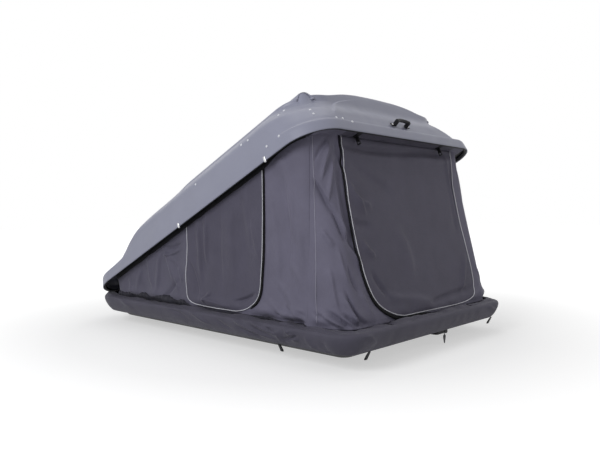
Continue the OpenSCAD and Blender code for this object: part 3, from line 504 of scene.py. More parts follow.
# Roof ribs: distance from the middle, half width, height, depth of the round top, and both ends with
# the length over which each runs out
RIB_Y = 0.502
RIB_HALF = 0.039
RIB_TOP = 0.274
RIB_ROUND = 0.026
RIB_FRONT = 1.945
RIB_FRONT_OUT = 0.034
RIB_REAR = 1.16
RIB_REAR_OUT = 0.12
# Raised panel on the front: half width at its foot, drawing-in of its sides, height and arch of its
# top, radius of its corners and rise over the lid
PANEL_HALF = 0.51
PANEL_LOW = 0.078
PANEL_SLANT = 0.98
PANEL_HIGH = 0.262
PANEL_ARCH = 0.357
PANEL_ROUND = 0.034
PANEL_RISE = 0.007
# Front edge of the crest: rise in the middle, dip beside it and where the dip lies
CREST_RISE = 0.008
CREST_DIP = 0.007
CREST_DIP_Y = 0.38
# Upward lean of the skin's outward direction
SKIN_LEAN = 0.18


def lid_ring(row, grow=0.0, sink=0.0):
    """Ring of points of one section of the closed lid."""
    h, s_in, f_in, r_in, rf, rr = row
    half = HALF_W - s_in + grow
    radii = [min(r + grow, half - 0.001) for r in (rr, rf)]
    ends = (r_in - grow, TENT_L - f_in + grow)
    return round_rect(ends, half, radii, 30, (70, 24, 70, 110), h - sink)


def lid_rows_at(steps):
    """Sections at places between the rows of the table."""
    return np.stack([easy_curve(LID_STEPS, column, steps) for column in LID_ROWS.T], axis=1)


def lid_relief(p):
    """Roof ribs, the arch of the crest and the raised front panel, as moves of the outer skin."""
    u, y, w = p[:, 0], p[:, 1], p[:, 2]
    side = np.abs(y)
    r2 = (((side - RIB_Y) / RIB_HALF) ** 2 + (np.maximum(u - RIB_FRONT, 0) / RIB_FRONT_OUT) ** 2
          + (np.maximum(RIB_REAR - u, 0) / RIB_REAR_OUT) ** 2)
    rib = RIB_TOP - RIB_ROUND + RIB_ROUND * np.sqrt(np.clip(1 - r2, 0, 1))
    rise = np.clip(rib - w, 0, 0.05) * smooth(1.0, 0.55, r2) * smooth(0.19, 0.215, w)
    qy = (side - PANEL_HALF + PANEL_SLANT * (w - PANEL_LOW)) / np.hypot(1, PANEL_SLANT) + PANEL_ROUND
    qw = (w - PANEL_HIGH + PANEL_ARCH * y**2) / np.hypot(1, 2 * PANEL_ARCH * y) + PANEL_ROUND
    beyond = np.hypot(np.maximum(qy, 0), np.maximum(qw, 0))
    gap = beyond + np.minimum(np.maximum(qy, qw), 0) - PANEL_ROUND
    panel = PANEL_RISE * smooth(0.003, -0.004, gap) * smooth(0.085, 0.15, w) * (u > 1.8)
    out = p.copy()
    out[:, 0] += panel
    arch = CREST_RISE * np.exp(-((y / 0.25) ** 2)) - CREST_DIP * np.exp(-(((side - CREST_DIP_Y) / 0.09) ** 2))
    out[:, 2] += rise + 0.2 * panel + arch * smooth(1.6, 1.97, u) * smooth(0.2, 0.25, w)
    return out


def lid_world(p):
    return open_pt(np.c_[p[:, 0] + LID_X0, p[:, 1], p[:, 2] + RIM_Z])


rings = []
for row in LID_ROWS[::-1]:
    rings.append(lid_ring(row, -0.9 * LID_WALL, LID_WALL) if row[0] > 0 else lid_ring(row, -LID_WALL))
rings.append(lid_ring(LID_ROWS[0], -0.5 * LID_WALL, 0.0016))
fine_steps = np.concatenate([np.arange(0, 11, 1 / 7), np.arange(11, 16.0001, 1 / 13)])
for row in lid_rows_at(fine_steps):
    rings.append(lid_relief(lid_ring(row)))
top = rings[-1]
middle = top.mean(axis=0)
for share in (0.8, 0.55, 0.3, 0.1):
    ring = middle + (top - middle) * share
    ring[:, 2] = top[:, 2] + 0.003 * (1 - share * share)
    rings.append(ring)
lid_verts, lid_faces = capped_rings(rings)
lid = new_piece("lid_moulding", lid_world(lid_verts), lid_faces, LID_GREY, "lid")
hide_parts("lid_shell")


def lid_spot(w, u=None, y=None, near=True):
    """Place and outward direction on the skin of the closed lid, on a side or on the front."""
    ring = lid_ring(lid_rows_at(np.interp([w], LID_ROWS[:, 0], LID_STEPS))[0])
    if y is None:
        pick = ring[:, 1] < 0 if near else ring[:, 1] > 0
        k = np.argmin(np.where(pick, np.abs(ring[:, 0] - u), np.inf))
    else:
        k = np.argmin(np.where(ring[:, 0] > 1.5, np.abs(ring[:, 1] - y), np.inf))
    t = ring[(k + 1) % len(ring)] - ring[k - 1]
    n = np.array([t[1], -t[0], 0.0])
    n /= np.linalg.norm(n)
    n[2] = SKIN_LEAN
    return ring[k], n / np.linalg.norm(n)


def dome(place, out, radius, height, sides=14, steps=5):
    """Low dome that stands on a surface."""
    out = Vector(out)
    side = out.orthogonal().normalized()
    other = out.cross(side)
    verts = []
    for i in range(steps):
        a = pi / 2 * i / steps
        for k in range(sides):
            b = 2 * pi * k / sides
            p = Vector(place) + (side * cos(b) + other * sin(b)) * radius * cos(a) + out * height * sin(a)
            verts.append(p[:])
    verts.append((Vector(place) + out * height)[:])
    faces = ring_faces(steps, sides)
    tip = len(verts) - 1
    faces += [((steps - 1) * sides + k, (steps - 1) * sides + (k + 1) % sides, tip) for k in range(sides)]
    faces.append(tuple(reversed(range(sides))))
    return np.array(verts), faces


# Rivet heads on the sides and the front of the lid, each with its height on the lid
RIVET_R = 0.0058
RIVET_H = 0.0042
RIVET_SUNK = 0.0008
SIDE_RIVETS = [(1.890, 0.205), (1.879, 0.181), (1.893, 0.057), (1.810, 0.054), (1.698, 0.150),
               (1.661, 0.154), (1.269, 0.144)]
FRONT_RIVETS = [(0.573, 0.140), (0.581, 0.109), (0.484, 0.080), (0.445, 0.082), (0.425, 0.046)]
spots = []
for near in (True, False):
    spots += [lid_spot(w, u=u, near=near) for u, w in SIDE_RIVETS]
spots += [lid_spot(w, y=-y) for y, w in FRONT_RIVETS]
heads = [dome(place - RIVET_SUNK * out, out, RIVET_R, RIVET_H) for place, out in spots]
verts, faces = join_parts(heads)
new_piece("lid_rivets", lid_world(verts), faces, RIVET_WHITE, "lid")

# Small knobs beside the front ends of the ribs
knobs = []
for side in (-1, 1):
    knobs.append(dome((1.976, side * 0.484, 0.226), (0.35, side * 0.15, 0.92), 0.013, 0.012))
verts, faces = join_parts(knobs)
new_piece("rib_knobs", lid_world(verts), faces, LID_GREY, "lid")

# Clips on the rim, over the tops of the side doors: size, edge, depth in the rim and height
CLIP_AT = (1.79, 1.083)
CLIP_BODY = ((0.013, 0.009, 0.024), 0.0025, 0.002, 0.006)
CLIP_FOOT = ((0.010, 0.008, 0.005), 0.0018, 0.003, -0.006)
clips = []
for u in CLIP_AT:
    for side in (-1, 1):
        for size, bevel, sunk, height in (CLIP_BODY, CLIP_FOOT):
            v, f = soft_box(size, bevel)
            clips.append((v + np.array([u, side * (HALF_W - sunk), height]), f))
verts, faces = join_parts(clips)
new_piece("rim_clips", lid_world(verts), faces, BRIGHT, "lid")


# Fabric walls: their top edge lies inside the rim of the lid and their foot on the ledge of the tray

CLOTH = 0.0016
RIM_FRONT_R = 0.18
TRAY_IN = 0.017
FABRIC_IN = 0.05
FABRIC_FRONT_IN = 0.072
UNDER_RAIL = 0.055
FABRIC_H = 0.0175
TOP_FRONT = LID_X0 + TENT_L - FABRIC_FRONT_IN
TOP_HALF = HALF_W - FABRIC_IN
TOP_R = RIM_FRONT_R - FABRIC_IN
FOOT_IN = 0.068
FOOT_Z = LEDGE_Z + 0.0003
FOOT_HALF = HALF_W - FOOT_IN
FOOT_FRONT = HALF_L - TRAY_IN - FOOT_IN
WALL_REAR = -0.768
SEAM_ANGLE = pi / 4
SEAM_X = float(open_pt([TOP_FRONT - TOP_R + TOP_R * cos(SEAM_ANGLE), 0, RIM_Z + FABRIC_H])[0])
FOLD = 0.009
CORNER_SHARE = 0.16
FOOT_CORNER = (FOOT_FRONT - SEAM_X, 0.11)
REAR_R = 0.29
TRAY_REAR_R = 0.25
TRAY_FRONT_R = 0.137


def side_top_z(x):
    return HINGE_Z + (x - HINGE_X) * tan(OPEN) + (RIM_Z + FABRIC_H - HINGE_Z) / cos(OPEN)


def turn_in(half, r, past):
    """Outward reach along a quarter turn that starts where past is 0."""
    return np.where(past <= 0, half, half - r + np.sqrt(np.clip(r**2 - past**2, 0, 1)))


def side_top_y(x):
    closed = HINGE_X + (x - HINGE_X) / cos(OPEN)
    return np.minimum(turn_in(TOP_HALF, TOP_R, closed - (TOP_FRONT - TOP_R)),
                      turn_in(TOP_HALF, REAR_R - FABRIC_IN, LID_X0 + REAR_R - closed))


def side_foot_y(x):
    return turn_in(FOOT_HALF, TRAY_REAR_R - FOOT_IN, -HALF_L + TRAY_REAR_R - x)


FOLD_DEPTH = 1.35
DOOR_DEPTH = 1.9
DOOR_SPREAD = 1.2


def creases(a, z, folds, depth=FOLD_DEPTH, spread=1.0):
    """Sum of ridges, each along a line: two ends, height and half width of its soft flank."""
    total = np.zeros_like(a)
    for a0, z0, a1, z1, height, width in folds:
        da, dz = a1 - a0, z1 - z0
        length = np.hypot(da, dz)
        t = ((a - a0) * da + (z - z0) * dz) / length**2
        d = ((a - a0) * dz - (z - z0) * da) / length
        d = d + 0.25 * width * np.sin(5.0 * t + 9.0 * a0)
        flank = spread * np.where(d > 0, width, 0.45 * width)
        fade = smooth(-0.12, 0.3, t) * smooth(1.12, 0.7, t)
        total += depth * height * np.exp(-((d / flank) ** 2)) * fade
    return total


# Folds of the side walls, as lines from one place and height to another, in millimetres
SIDE_FOLDS = np.array([
    [620, 920, 700, 590, 9, 34], [700, 620, 810, 260, 10, 30], [670, 450, 790, 250, 8, 20],
    [720, 520, 790, 400, 6, 16], [560, 800, 600, 300, 8, 40], [760, 900, 780, 550, -6, 26],
    [640, 880, 660, 340, -8, 36], [740, 700, 760, 340, 7, 30], [600, 360, 720, 200, 7, 20],
    [520, 280, 660, 185, 7, 18], [640, 245, 760, 178, -15, 10], [700, 235, 830, 176, -16, 10],
    [580, 215, 660, 176, -12, 10], [680, 225, 800, 182, 12, 14], [-285, 484, -168, 383, 7, 14],
    [-304, 460, -371, 231, 9, 22], [-255, 482, -211, 292, 9, 18], [-432, 398, -396, 243, 8, 20],
    [-157, 384, -130, 298, 7, 14], [-230, 449, -167, 239, 8, 18], [-120, 500, -260, 470, -8, 12],
    [-120, 470, -280, 430, 7, 12], [-520, 360, -560, 220, 7, 20], [-640, 300, -620, 200, 6, 18],
    [-160, 300, -300, 200, -7, 16],
]) / 1000.0
SIDE_DOOR_FOLDS = np.array([
    [29, 640, 45, 320, 8, 20], [99, 660, 96, 410, 7, 18], [440, 630, 479, 450, 6, 18],
    [112, 272, 62, 205, 6, 12], [300, 236, 445, 282, -7, 12], [300, 700, 290, 360, 5, 35],
    [200, 660, 200, 300, -4, 30], [-50, 420, 20, 230, -6, 16], [400, 780, 410, 500, 5, 26],
    [20, 230, 260, 215, 6, 12],
]) / 1000.0
# Folds of the front wall in the length of its way round and the height
FRONT_FOLDS = np.array([
    [30, 800, 170, 656, -12, 20], [150, 675, 270, 510, -13, 20], [210, 640, 295, 430, 10, 18],
    [265, 985, 292, 830, -8, 14], [215, 430, 262, 310, -9, 14], [150, 310, 222, 190, 10, 14],
    [205, 245, 280, 178, -10, 12], [20, 460, 45, 260, 7, 16], [70, 580, 145, 525, 8, 18],
    [220, 960, 100, 800, 10, 18], [240, 900, 130, 700, 9, 18], [190, 980, 50, 880, -8, 16],
    [30, 235, 130, 176, -16, 10], [80, 245, 190, 176, -16, 10], [50, 222, 150, 180, 12, 14],
    [140, 235, 240, 178, -13, 9], [170, 330, 250, 178, -11, 10], [100, 420, 130, 240, 8, 16],
    [270, 340, 310, 220, 7, 14], [160, 500, 200, 360, 7, 16], [1400, 900, 1340, 240, 3, 20],
    [1320, 700, 1300, 200, -3, 18], [1240, 960, 1360, 600, 3, 16], [1220, 400, 1340, 200, 4, 18],
    [255, 930, 272, 400, -12, 26], [225, 800, 245, 520, 6, 14],
]) / 1000.0
FRONT_DOOR_FOLDS = np.array([
    [300, 955, 750, 950, -9, 20], [700, 950, 1180, 982, -9, 20], [300, 925, 750, 915, 6, 22],
    [700, 915, 1160, 945, 6, 22], [305, 790, 380, 645, 8, 18], [330, 732, 430, 678, 7, 15],
    [330, 530, 395, 455, 7, 17], [295, 620, 400, 595, -6, 16], [740, 218, 1160, 264, -7, 14],
    [400, 300, 750, 225, 6, 24], [340, 880, 600, 740, -4, 35], [1150, 420, 1040, 240, 6, 16],
    [1165, 900, 1100, 550, -5, 24], [600, 600, 660, 340, 4, 50], [360, 400, 440, 270, -6, 14],
    [1135, 950, 1120, 600, 6, 14],
]) / 1000.0


def pooled(a, z, depth):
    """Loose cloth at the foot: it bulges out a little and then turns in on the ledge."""
    loose = 0.75 + 0.35 * np.sin(11.0 * a + 0.6) + 0.3 * np.sin(29.0 * a) + 0.15 * np.sin(61.0 * a + 1.0)
    bulge = 0.008 * np.exp(-(((z - FOOT_Z - 0.048) / 0.026) ** 2))
    turn = 0.013 * np.exp(-(((z - FOOT_Z - 0.008) / 0.015) ** 2))
    return depth * np.clip(loose, 0.2, 1.5) * (bulge - turn)


def side_fold(x, z, v):
    """Outward moves of a side wall at a place, a height and a share of the way up."""
    free = np.clip((SEAM_X - x) / 0.18, 0, 1)
    wave = 0.5 * np.sin(2 * pi * x / 0.29) + 0.35 * np.sin(2 * pi * x / 0.173 + radians(70) * v)
    hollow = -FOLD * np.sin(pi * np.clip(v, 0, 1)) * (0.6 + free * wave)
    calm = smooth(0.0, 0.02, z - FOOT_Z) * smooth(1.0, 0.95, v)
    seam = smooth(0.0, 0.05, SEAM_X - x)
    fold = (creases(x, z, SIDE_FOLDS) + creases(x, z, SIDE_DOOR_FOLDS, DOOR_DEPTH, DOOR_SPREAD)) * calm
    loose = pooled(x, z, smooth(-0.8, -0.7, x) * (1 + 0.7 * smooth(0.4, 0.55, x)))
    return hollow + seam * (fold + loose)


def side_pt(x, v, out):
    """Point of the near side wall at a share of the way up."""
    z = FOOT_Z + (side_top_z(x) - FOOT_Z) * v
    foot = side_foot_y(x)
    y = foot + (side_top_y(x) - foot) * v + side_fold(x, z, v) + out
    return np.stack([x, -y, z], axis=-1)


def side_at(x, z, out):
    """Point of the near side wall at a height."""
    return side_pt(x, (z - FOOT_Z) / (side_top_z(x) - FOOT_Z), out)


def front_parts(s):
    """Share of a corner, side and whether it turns, at a share of the way round."""
    share = np.clip(np.where(s <= 0.5, s, 1 - s) / CORNER_SHARE, 0, 1)
    side = np.where(s <= 0.5, -1.0, 1.0)
    return share, side, (s <= CORNER_SHARE) | (s >= 1 - CORNER_SHARE)


def front_foot(s):
    share, side, turning = front_parts(s)
    a = pi / 2 * share
    y = np.where(turning, side * (FOOT_HALF - FOOT_CORNER[1] + FOOT_CORNER[1] * np.cos(a)),
                 (FOOT_HALF - FOOT_CORNER[1]) * (s - 0.5) / (0.5 - CORNER_SHARE))
    return np.stack([SEAM_X + FOOT_CORNER[0] * np.sin(a), y, np.full_like(s, FOOT_Z)], axis=-1)


def front_top(s, grow=0.0, lift=0.0):
    share, side, turning = front_parts(s)
    a = SEAM_ANGLE * (1 - share)
    r = TOP_R + grow
    y = np.where(turning, side * (TOP_HALF - TOP_R + r * np.sin(a)),
                 (TOP_HALF - TOP_R) * (s - 0.5) / (0.5 - CORNER_SHARE))
    z = np.broadcast_to(RIM_Z + FABRIC_H + lift, s.shape)
    return open_pt(np.stack([TOP_FRONT - TOP_R + r * np.cos(a), y, z], axis=-1))


def front_out(s):
    share, side, _ = front_parts(s)
    a = pi / 2 * share
    out = np.stack([np.sin(a), side * np.cos(a), np.full_like(s, 0.15)], axis=-1)
    return out / np.linalg.norm(out, axis=-1)[..., None]


FRONT_WAY = 1.45


def front_pt(s, v, out):
    """Point of the front wall at shares of the way round and up."""
    s = np.asarray(s, float)
    v = np.asarray(v, float)
    base = front_foot(s) + (front_top(s) - front_foot(s)) * v[..., None]
    share = front_parts(s)[0]
    hollow = -FOLD * np.sin(pi * np.clip(v, 0, 1)) * (
        0.6 + share * (1 - 0.6 * share) * 0.9 * np.sin(radians(700) * s + radians(120) * v))
    z = base[..., 2]
    calm = smooth(0.0, 0.02, z - FOOT_Z) * smooth(1.0, 0.97, v)
    seam = smooth(0.0, 0.05, s * FRONT_WAY) * smooth(0.0, 0.05, (1 - s) * FRONT_WAY)
    fold = creases(s * FRONT_WAY, z, FRONT_FOLDS)
    fold = (fold + creases(s * FRONT_WAY, z, FRONT_DOOR_FOLDS, DOOR_DEPTH, DOOR_SPREAD)) * calm
    flare = 0.018 * smooth(0.8, 0.25, z) * np.exp(-(((s - 0.92) / 0.05) ** 2))
    pool = 0.03 * np.exp(-(((s - 0.94) / 0.035) ** 2) - ((z - FOOT_Z - 0.03) / 0.028) ** 2)
    loose = pooled(s * FRONT_WAY, z, 0.6) + pool
    return base + front_out(s) * (hollow + seam * (fold + flare + loose) + out)[..., None]


FRONT_TOP_Z = float(front_top(np.array(0.5))[2])


def front_at(y, z, out):
    """Point of the front wall at a place across and a height."""
    y = np.asarray(y, float)
    z = np.asarray(z, float)
    v = (z - FOOT_Z) / (FRONT_TOP_Z - FOOT_Z)
    half = (FOOT_HALF - FOOT_CORNER[1]) * (1 - v) + (TOP_HALF - TOP_R) * v
    return front_pt(0.5 + y / half * (0.5 - CORNER_SHARE), v, out)


def cloth_piece(name, outer, inner, material, node, second=None):
    """A sheet of cloth, with a second cloth where a test says so."""
    verts, faces = sheet_mesh(outer, inner)
    obj = new_piece(name, verts, faces, material, "base")
    if node:
        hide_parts(node)
    rim = 2 * (outer.shape[0] + outer.shape[1]) - 4
    soft = [True] * (len(faces) - rim) + [False] * rim
    obj.data.polygons.foreach_set("use_smooth", soft)
    if second:
        cloth, chosen = second
        obj.data.materials.append(cloth)
        centres = np.array([face.center[:] for face in obj.data.polygons])
        obj.data.polygons.foreach_set("material_index", chosen(centres).astype(int))
    a = outer[:-1, :-1]
    b = outer[1:, :-1]
    c = outer[1:, 1:]
    d = outer[:-1, 1:]
    area = float(0.5 * (np.linalg.norm(np.cross(b - a, c - a), axis=-1)
                        + np.linalg.norm(np.cross(c - a, d - a), axis=-1)).sum())
    long_way = float(np.linalg.norm(np.diff(outer, axis=0), axis=-1).sum(axis=0).max())
    tall_way = float(np.linalg.norm(np.diff(outer, axis=1), axis=-1).sum(axis=1).max())
    area = min(area, long_way * tall_way)
    fold_down(obj)


def fold_down(obj):
    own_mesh(obj)


def as_it_is(grid):
    return grid


def mirrored(grid):
    return grid * np.array([1, -1, 1])


# Both sides, with what takes the near one there
SIDES = (("left", as_it_is), ("right", mirrored))
columns = np.r_[np.linspace(WALL_REAR, SEAM_X, 250), SEAM_X + 0.003, SEAM_X + 0.006]
shares = np.linspace(0, 1, 120)
wall_x, wall_v = np.meshgrid(columns, shares, indexing="ij")


def side_wall_grid(out):
    """Side wall, with a narrow lap under the edge of the front wall."""
    return side_pt(wall_x, wall_v, out - 0.0005 * smooth(0.0, 0.003, wall_x - SEAM_X))


def lid_shade_behind_door(c):
    """Part of a side wall between its door and the hinge, which takes a darker cloth as painted shade of the
    lid's overhang.
    """
    return c[:, 0] < -0.07


# Behind the doors the side walls take the darker cloth, painted shade of the lid's overhang
for name, placed in SIDES:
    cloth_piece("tent_wall_" + name, placed(side_wall_grid(0.0)), placed(side_wall_grid(-CLOTH)),
                WALL_CLOTH, "wall_" + name,
                (REAR_SHADE_CLOTH, lid_shade_behind_door))

# Strips along the top and the gathered foot of each side wall: a black one under the rim, partly a dark trim
# and partly painted shadow of the rim, and a dark gathered one at the foot, partly a gathered edge and partly
# painted shade in the pooled folds
strip_x = np.linspace(WALL_REAR + 0.003, SEAM_X - 0.003, 300)
strip_t = np.linspace(0, 1, 7)
bx, bt = np.meshgrid(strip_x, strip_t, indexing="ij")
strip_line = np.c_[strip_x, np.zeros_like(strip_x), np.zeros_like(strip_x)]
gather_big = noise_at(strip_line, 13.0, 21)[:, None]
gather_fine = noise_at(strip_line, 47.0, 22)[:, None]
# The strip under the rim is wider away from the front corner, where its painted shadow of the rim is deeper
top_h = 0.005 + 0.020 * smooth(0.64, 0.5, bx) + 0.003 * gather_big
top_z = side_top_z(bx) - 0.0015 - bt * top_h
foot_h = np.clip(0.020 + 0.012 * gather_big + 0.006 * gather_fine, 0.008, 0.034)
foot_h = foot_h * (1 - 0.75 * smooth(0.38, 0.62, bx)) * (1 + 0.6 * smooth(-0.06, -0.14, bx))
# Under the door the band stays below the piping
by_door = smooth(-0.12, -0.05, bx) * smooth(0.50, 0.40, bx)
foot_h = foot_h * (1 - by_door) + np.minimum(foot_h, 0.011) * by_door
foot_z = FOOT_Z + 0.0008 + bt * foot_h
puff = np.sin(pi * bt) * np.clip(0.007 + 0.006 * gather_big + 0.008 * gather_fine, 0.001, 0.018)
puff = puff * np.minimum(foot_h / 0.02, 1) * (1 - 0.8 * by_door)
strips = (("top", top_z, 0.0052, "stretched", RIM_TRIM_AND_SHADOW), ("foot", foot_z, 0.0022 + puff, "gathered", FOOT_GATHER_AND_SHADE))
for name, placed in SIDES:
    for part, z, lift, held, cloth in strips:
        cloth_piece(part + "_trim_and_shade_" + name, placed(side_at(bx, z, lift + CLOTH)),
                    placed(side_at(bx, z, lift)), cloth, None)

front_s, front_v = np.meshgrid(np.linspace(0, 1, 230), shares, indexing="ij")


def front_wall_grid(out):
    """Front wall, with its top edge drawn forward under the rail to the rim."""
    grid = front_pt(front_s, front_v, out)
    s = front_s[:, 0]
    ends = smooth(0.0, 0.09, s) * smooth(1.0, 0.91, s)
    extra = []
    for share in (0.3, 0.65, 1.0):
        extra.append(front_top(s, UNDER_RAIL * share * ends, -0.0004 - 0.003 * share * ends + out))
    return np.concatenate([grid, np.stack(extra, axis=1)], axis=1)


def over_door(c):
    """Part of the front wall under the rail, over the door."""
    closed_x = HINGE_X + (c[:, 0] - HINGE_X) * cos(OPEN) + (c[:, 2] - HINGE_Z) * sin(OPEN)
    return (closed_x > TOP_FRONT + 0.002) & (c[:, 1] > -0.452) & (c[:, 1] < 0.498)


cloth_piece("tent_wall_front", front_wall_grid(0.0), front_wall_grid(-CLOTH), WALL_CLOTH,
            "wall_front", (DOOR_CLOTH, over_door))

# Doors, between a line up each side; each line runs from the foot to the lid, in millimetres
SIDE_DOOR_A = np.array([
    [80, 190], [2, 195], [-55, 210], [-78, 245], [-84, 324], [-67, 419], [-58, 500],
]) / 1000.0
SIDE_DOOR_B = np.array([
    [300, 191], [360, 203], [413, 226], [456, 260], [479, 307], [489, 376], [499, 467],
    [505, 580], [514, 800],
]) / 1000.0
FRONT_DOOR_A = np.array([
    [-203, 187], [-264, 197], [-362, 238], [-413, 290], [-446, 387], [-466, 537], [-471, 687],
    [-460, 884], [-452, 985],
]) / 1000.0
FRONT_DOOR_B = np.array([
    [252, 184], [360, 189], [430, 203], [465, 235], [482, 285], [486, 350], [476, 477],
    [459, 640], [462, 776], [490, 930], [498, 985],
]) / 1000.0
DOOR_OUT = 0.0026


def door_lines(edges, tops):
    """Both sides of a door, carried on up to just under its top edge."""
    lines = []
    for edge, top in zip(edges, tops):
        lines.append(along(np.vstack([edge, (edge[-1, 0], top - 0.004)]), 100))
    return lines


def door_grid(a, b, place, out, cols=110):
    t = np.linspace(0, 1, cols)[:, None, None]
    flat = a[None] * (1 - t) + b[None] * t
    return place(flat[..., 0], flat[..., 1], out)


def door_route(a, b, shift=0.0):
    """Way round a door: down the first side, across and up the second, moved outwards by shift."""
    foot = np.linspace(a[0], b[0], 24)[1:-1]
    way = np.concatenate([a[::-1], foot, b])
    way = along(way, 150)
    if shift:
        t = np.gradient(way, axis=0)
        t /= np.linalg.norm(t, axis=1)[:, None]
        way = way + shift * np.stack([t[:, 1], -t[:, 0]], axis=1)
    return way


# Trim along a door's edge: distance from the wall, sides of its tube, cloth and slot
TRIMS = {"piping": (0.005, 8, PIPING, "piping_cord"), "zip": (0.004, 6, ZIP, "zip_tape")}
OUT_SIDE = (0, -1, 0)
OUT_FRONT = (1, 0, 0.15)


def door_trim(kind, name, way, place, radius, flat, toward, placed=as_it_is):
    out, sides, cloth, slot = TRIMS[kind]
    verts, faces = tube_mesh(place(way[:, 0], way[:, 1], out), toward, radius, sides, flat)
    obj = new_piece("door_" + kind + "_" + name, placed(verts), faces, cloth, "base")
    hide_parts(kind + "_" + name)
    fold_down(obj)


def door_flap(name, lines, place, placed=as_it_is):
    cloth_piece("door_flap_" + name, placed(door_grid(*lines, place, DOOR_OUT + CLOTH)),
                placed(door_grid(*lines, place, DOOR_OUT)), DOOR_CLOTH, "door_" + name)


def zip_half(way, places, widths):
    """Half width of a zip along its way."""
    return np.interp(np.linspace(0, 1, len(way)), places, widths)


side_edges = (SIDE_DOOR_A, SIDE_DOOR_B)
side_lines = door_lines(side_edges, [side_top_z(edge[-1, 0]) for edge in side_edges])
side_zip = door_route(*side_lines, 0.009)[84:]
side_zip_half = zip_half(side_zip, [0, 0.06, 0.3, 1], [0.002, 0.0075, 0.006, 0.0045])
for name, placed in SIDES:
    door_flap(name, side_lines, side_at, placed)
    door_trim("piping", name, door_route(*side_lines), side_at, 0.0019, 1.0, OUT_SIDE, placed)
    door_trim("zip", name, side_zip, side_at, side_zip_half, 0.28, OUT_SIDE, placed)
front_lines = door_lines((FRONT_DOOR_A, FRONT_DOOR_B), (FRONT_TOP_Z, FRONT_TOP_Z))
front_zip = door_route(*front_lines, 0.012)[:74]
front_zip_half = zip_half(front_zip, [0, 0.55, 0.85, 0.95, 1], [0.005, 0.007, 0.011, 0.009, 0.002])
door_flap("front", front_lines, front_at)
door_trim("piping", "front", door_route(*front_lines), front_at, 0.0021, 1.0, OUT_FRONT)
door_trim("zip", "front", front_zip, front_at, front_zip_half, 0.22, OUT_FRONT)

# Sewn seams beside the corners, where the side walls meet the front wall
seam_v = np.linspace(0.02, 1, 60)
seam_line = front_pt(np.full_like(seam_v, 0.04 / FRONT_WAY), seam_v, 0.0003)
seam_out = np.array([0.7, -0.7, 0.0])
seams = [tube_mesh(placed(seam_line), placed(seam_out), 0.0015, 6) for _, placed in SIDES]
verts, faces = join_parts(seams)
seam_welts = new_piece("seam_welts", verts, faces, SEAM_CLOTH, "base")
fold_down(seam_welts)


# Skirt over the edge of the tray

def tray_ring(inset, z):
    """Ring round the tray, drawn in by an inset."""
    radii = (max(TRAY_REAR_R - inset, 0.06), max(TRAY_FRONT_R - inset, 0.04))
    return round_rect((-HALF_L + inset, HALF_L - inset), HALF_W - inset, radii, 26, (110, 40, 110, 76), z)


def skirt_noise(ring, tall, scale, seed):
    """Noise along the skirt, with its height counted by a share."""
    return noise_at(ring * np.array([1, 1, tall]), scale, seed)


# Section of the skirt from the hem to the ledge: inset and height
SKIRT_LINE = [
    (0.06, 0.08), (0.057, 0.0815), (0.052, 0.086), (0.044, 0.095), (0.035, 0.107), (0.027, 0.121),
    (0.0212, 0.135), (0.018, 0.147), (0.0174, 0.156), (0.0195, 0.1635), (0.025, 0.169), (0.033, 0.1709),
    (0.048, 0.1708), (0.064, 0.1708), (0.08, 0.1708),
]
line = along(SKIRT_LINE, 56)
line_way = np.r_[0, np.cumsum(np.linalg.norm(np.diff(line, axis=0), axis=1))]
# Creases of both sides, from one place and way up from the hem to another, in millimetres
SKIRT_FOLDS = np.array([
    [330, 108, 580, 30, 10, 12], [450, 112, 630, 52, 9, 11], [630, 90, 645, 10, 10, 10],
    [-30, 112, 145, 50, 6, 12], [-240, 108, -80, 98, 5, 10], [680, 100, 740, 40, 9, 10],
    [740, 75, 660, 35, -8, 9], [800, 80, 830, 10, 6, 12], [880, 70, 900, 5, -5, 10],
    [560, 90, 600, 60, -7, 9], [360, 75, 500, 30, -5, 12], [700, 150, 860, 112, -8, 12],
    [600, 140, 740, 105, 8, 14], [780, 150, 950, 120, 8, 12], [150, 140, 280, 108, 6, 14],
    [-450, 140, -330, 106, 6, 14], [-700, 110, -580, 70, 4, 14], [200, 85, 310, 45, -4, 12],
    [-160, 100, -30, 60, -4, 12],
]) / 1000.0
# Creases of the front, in the same way along its width
SKIRT_FRONT_FOLDS = np.array([
    [-600, 110, -500, 50, 5, 16], [-420, 150, -300, 110, 6, 14], [300, 150, 450, 112, 5, 16],
    [480, 100, 580, 40, 4, 16], [-120, 150, -240, 115, -5, 14],
]) / 1000.0
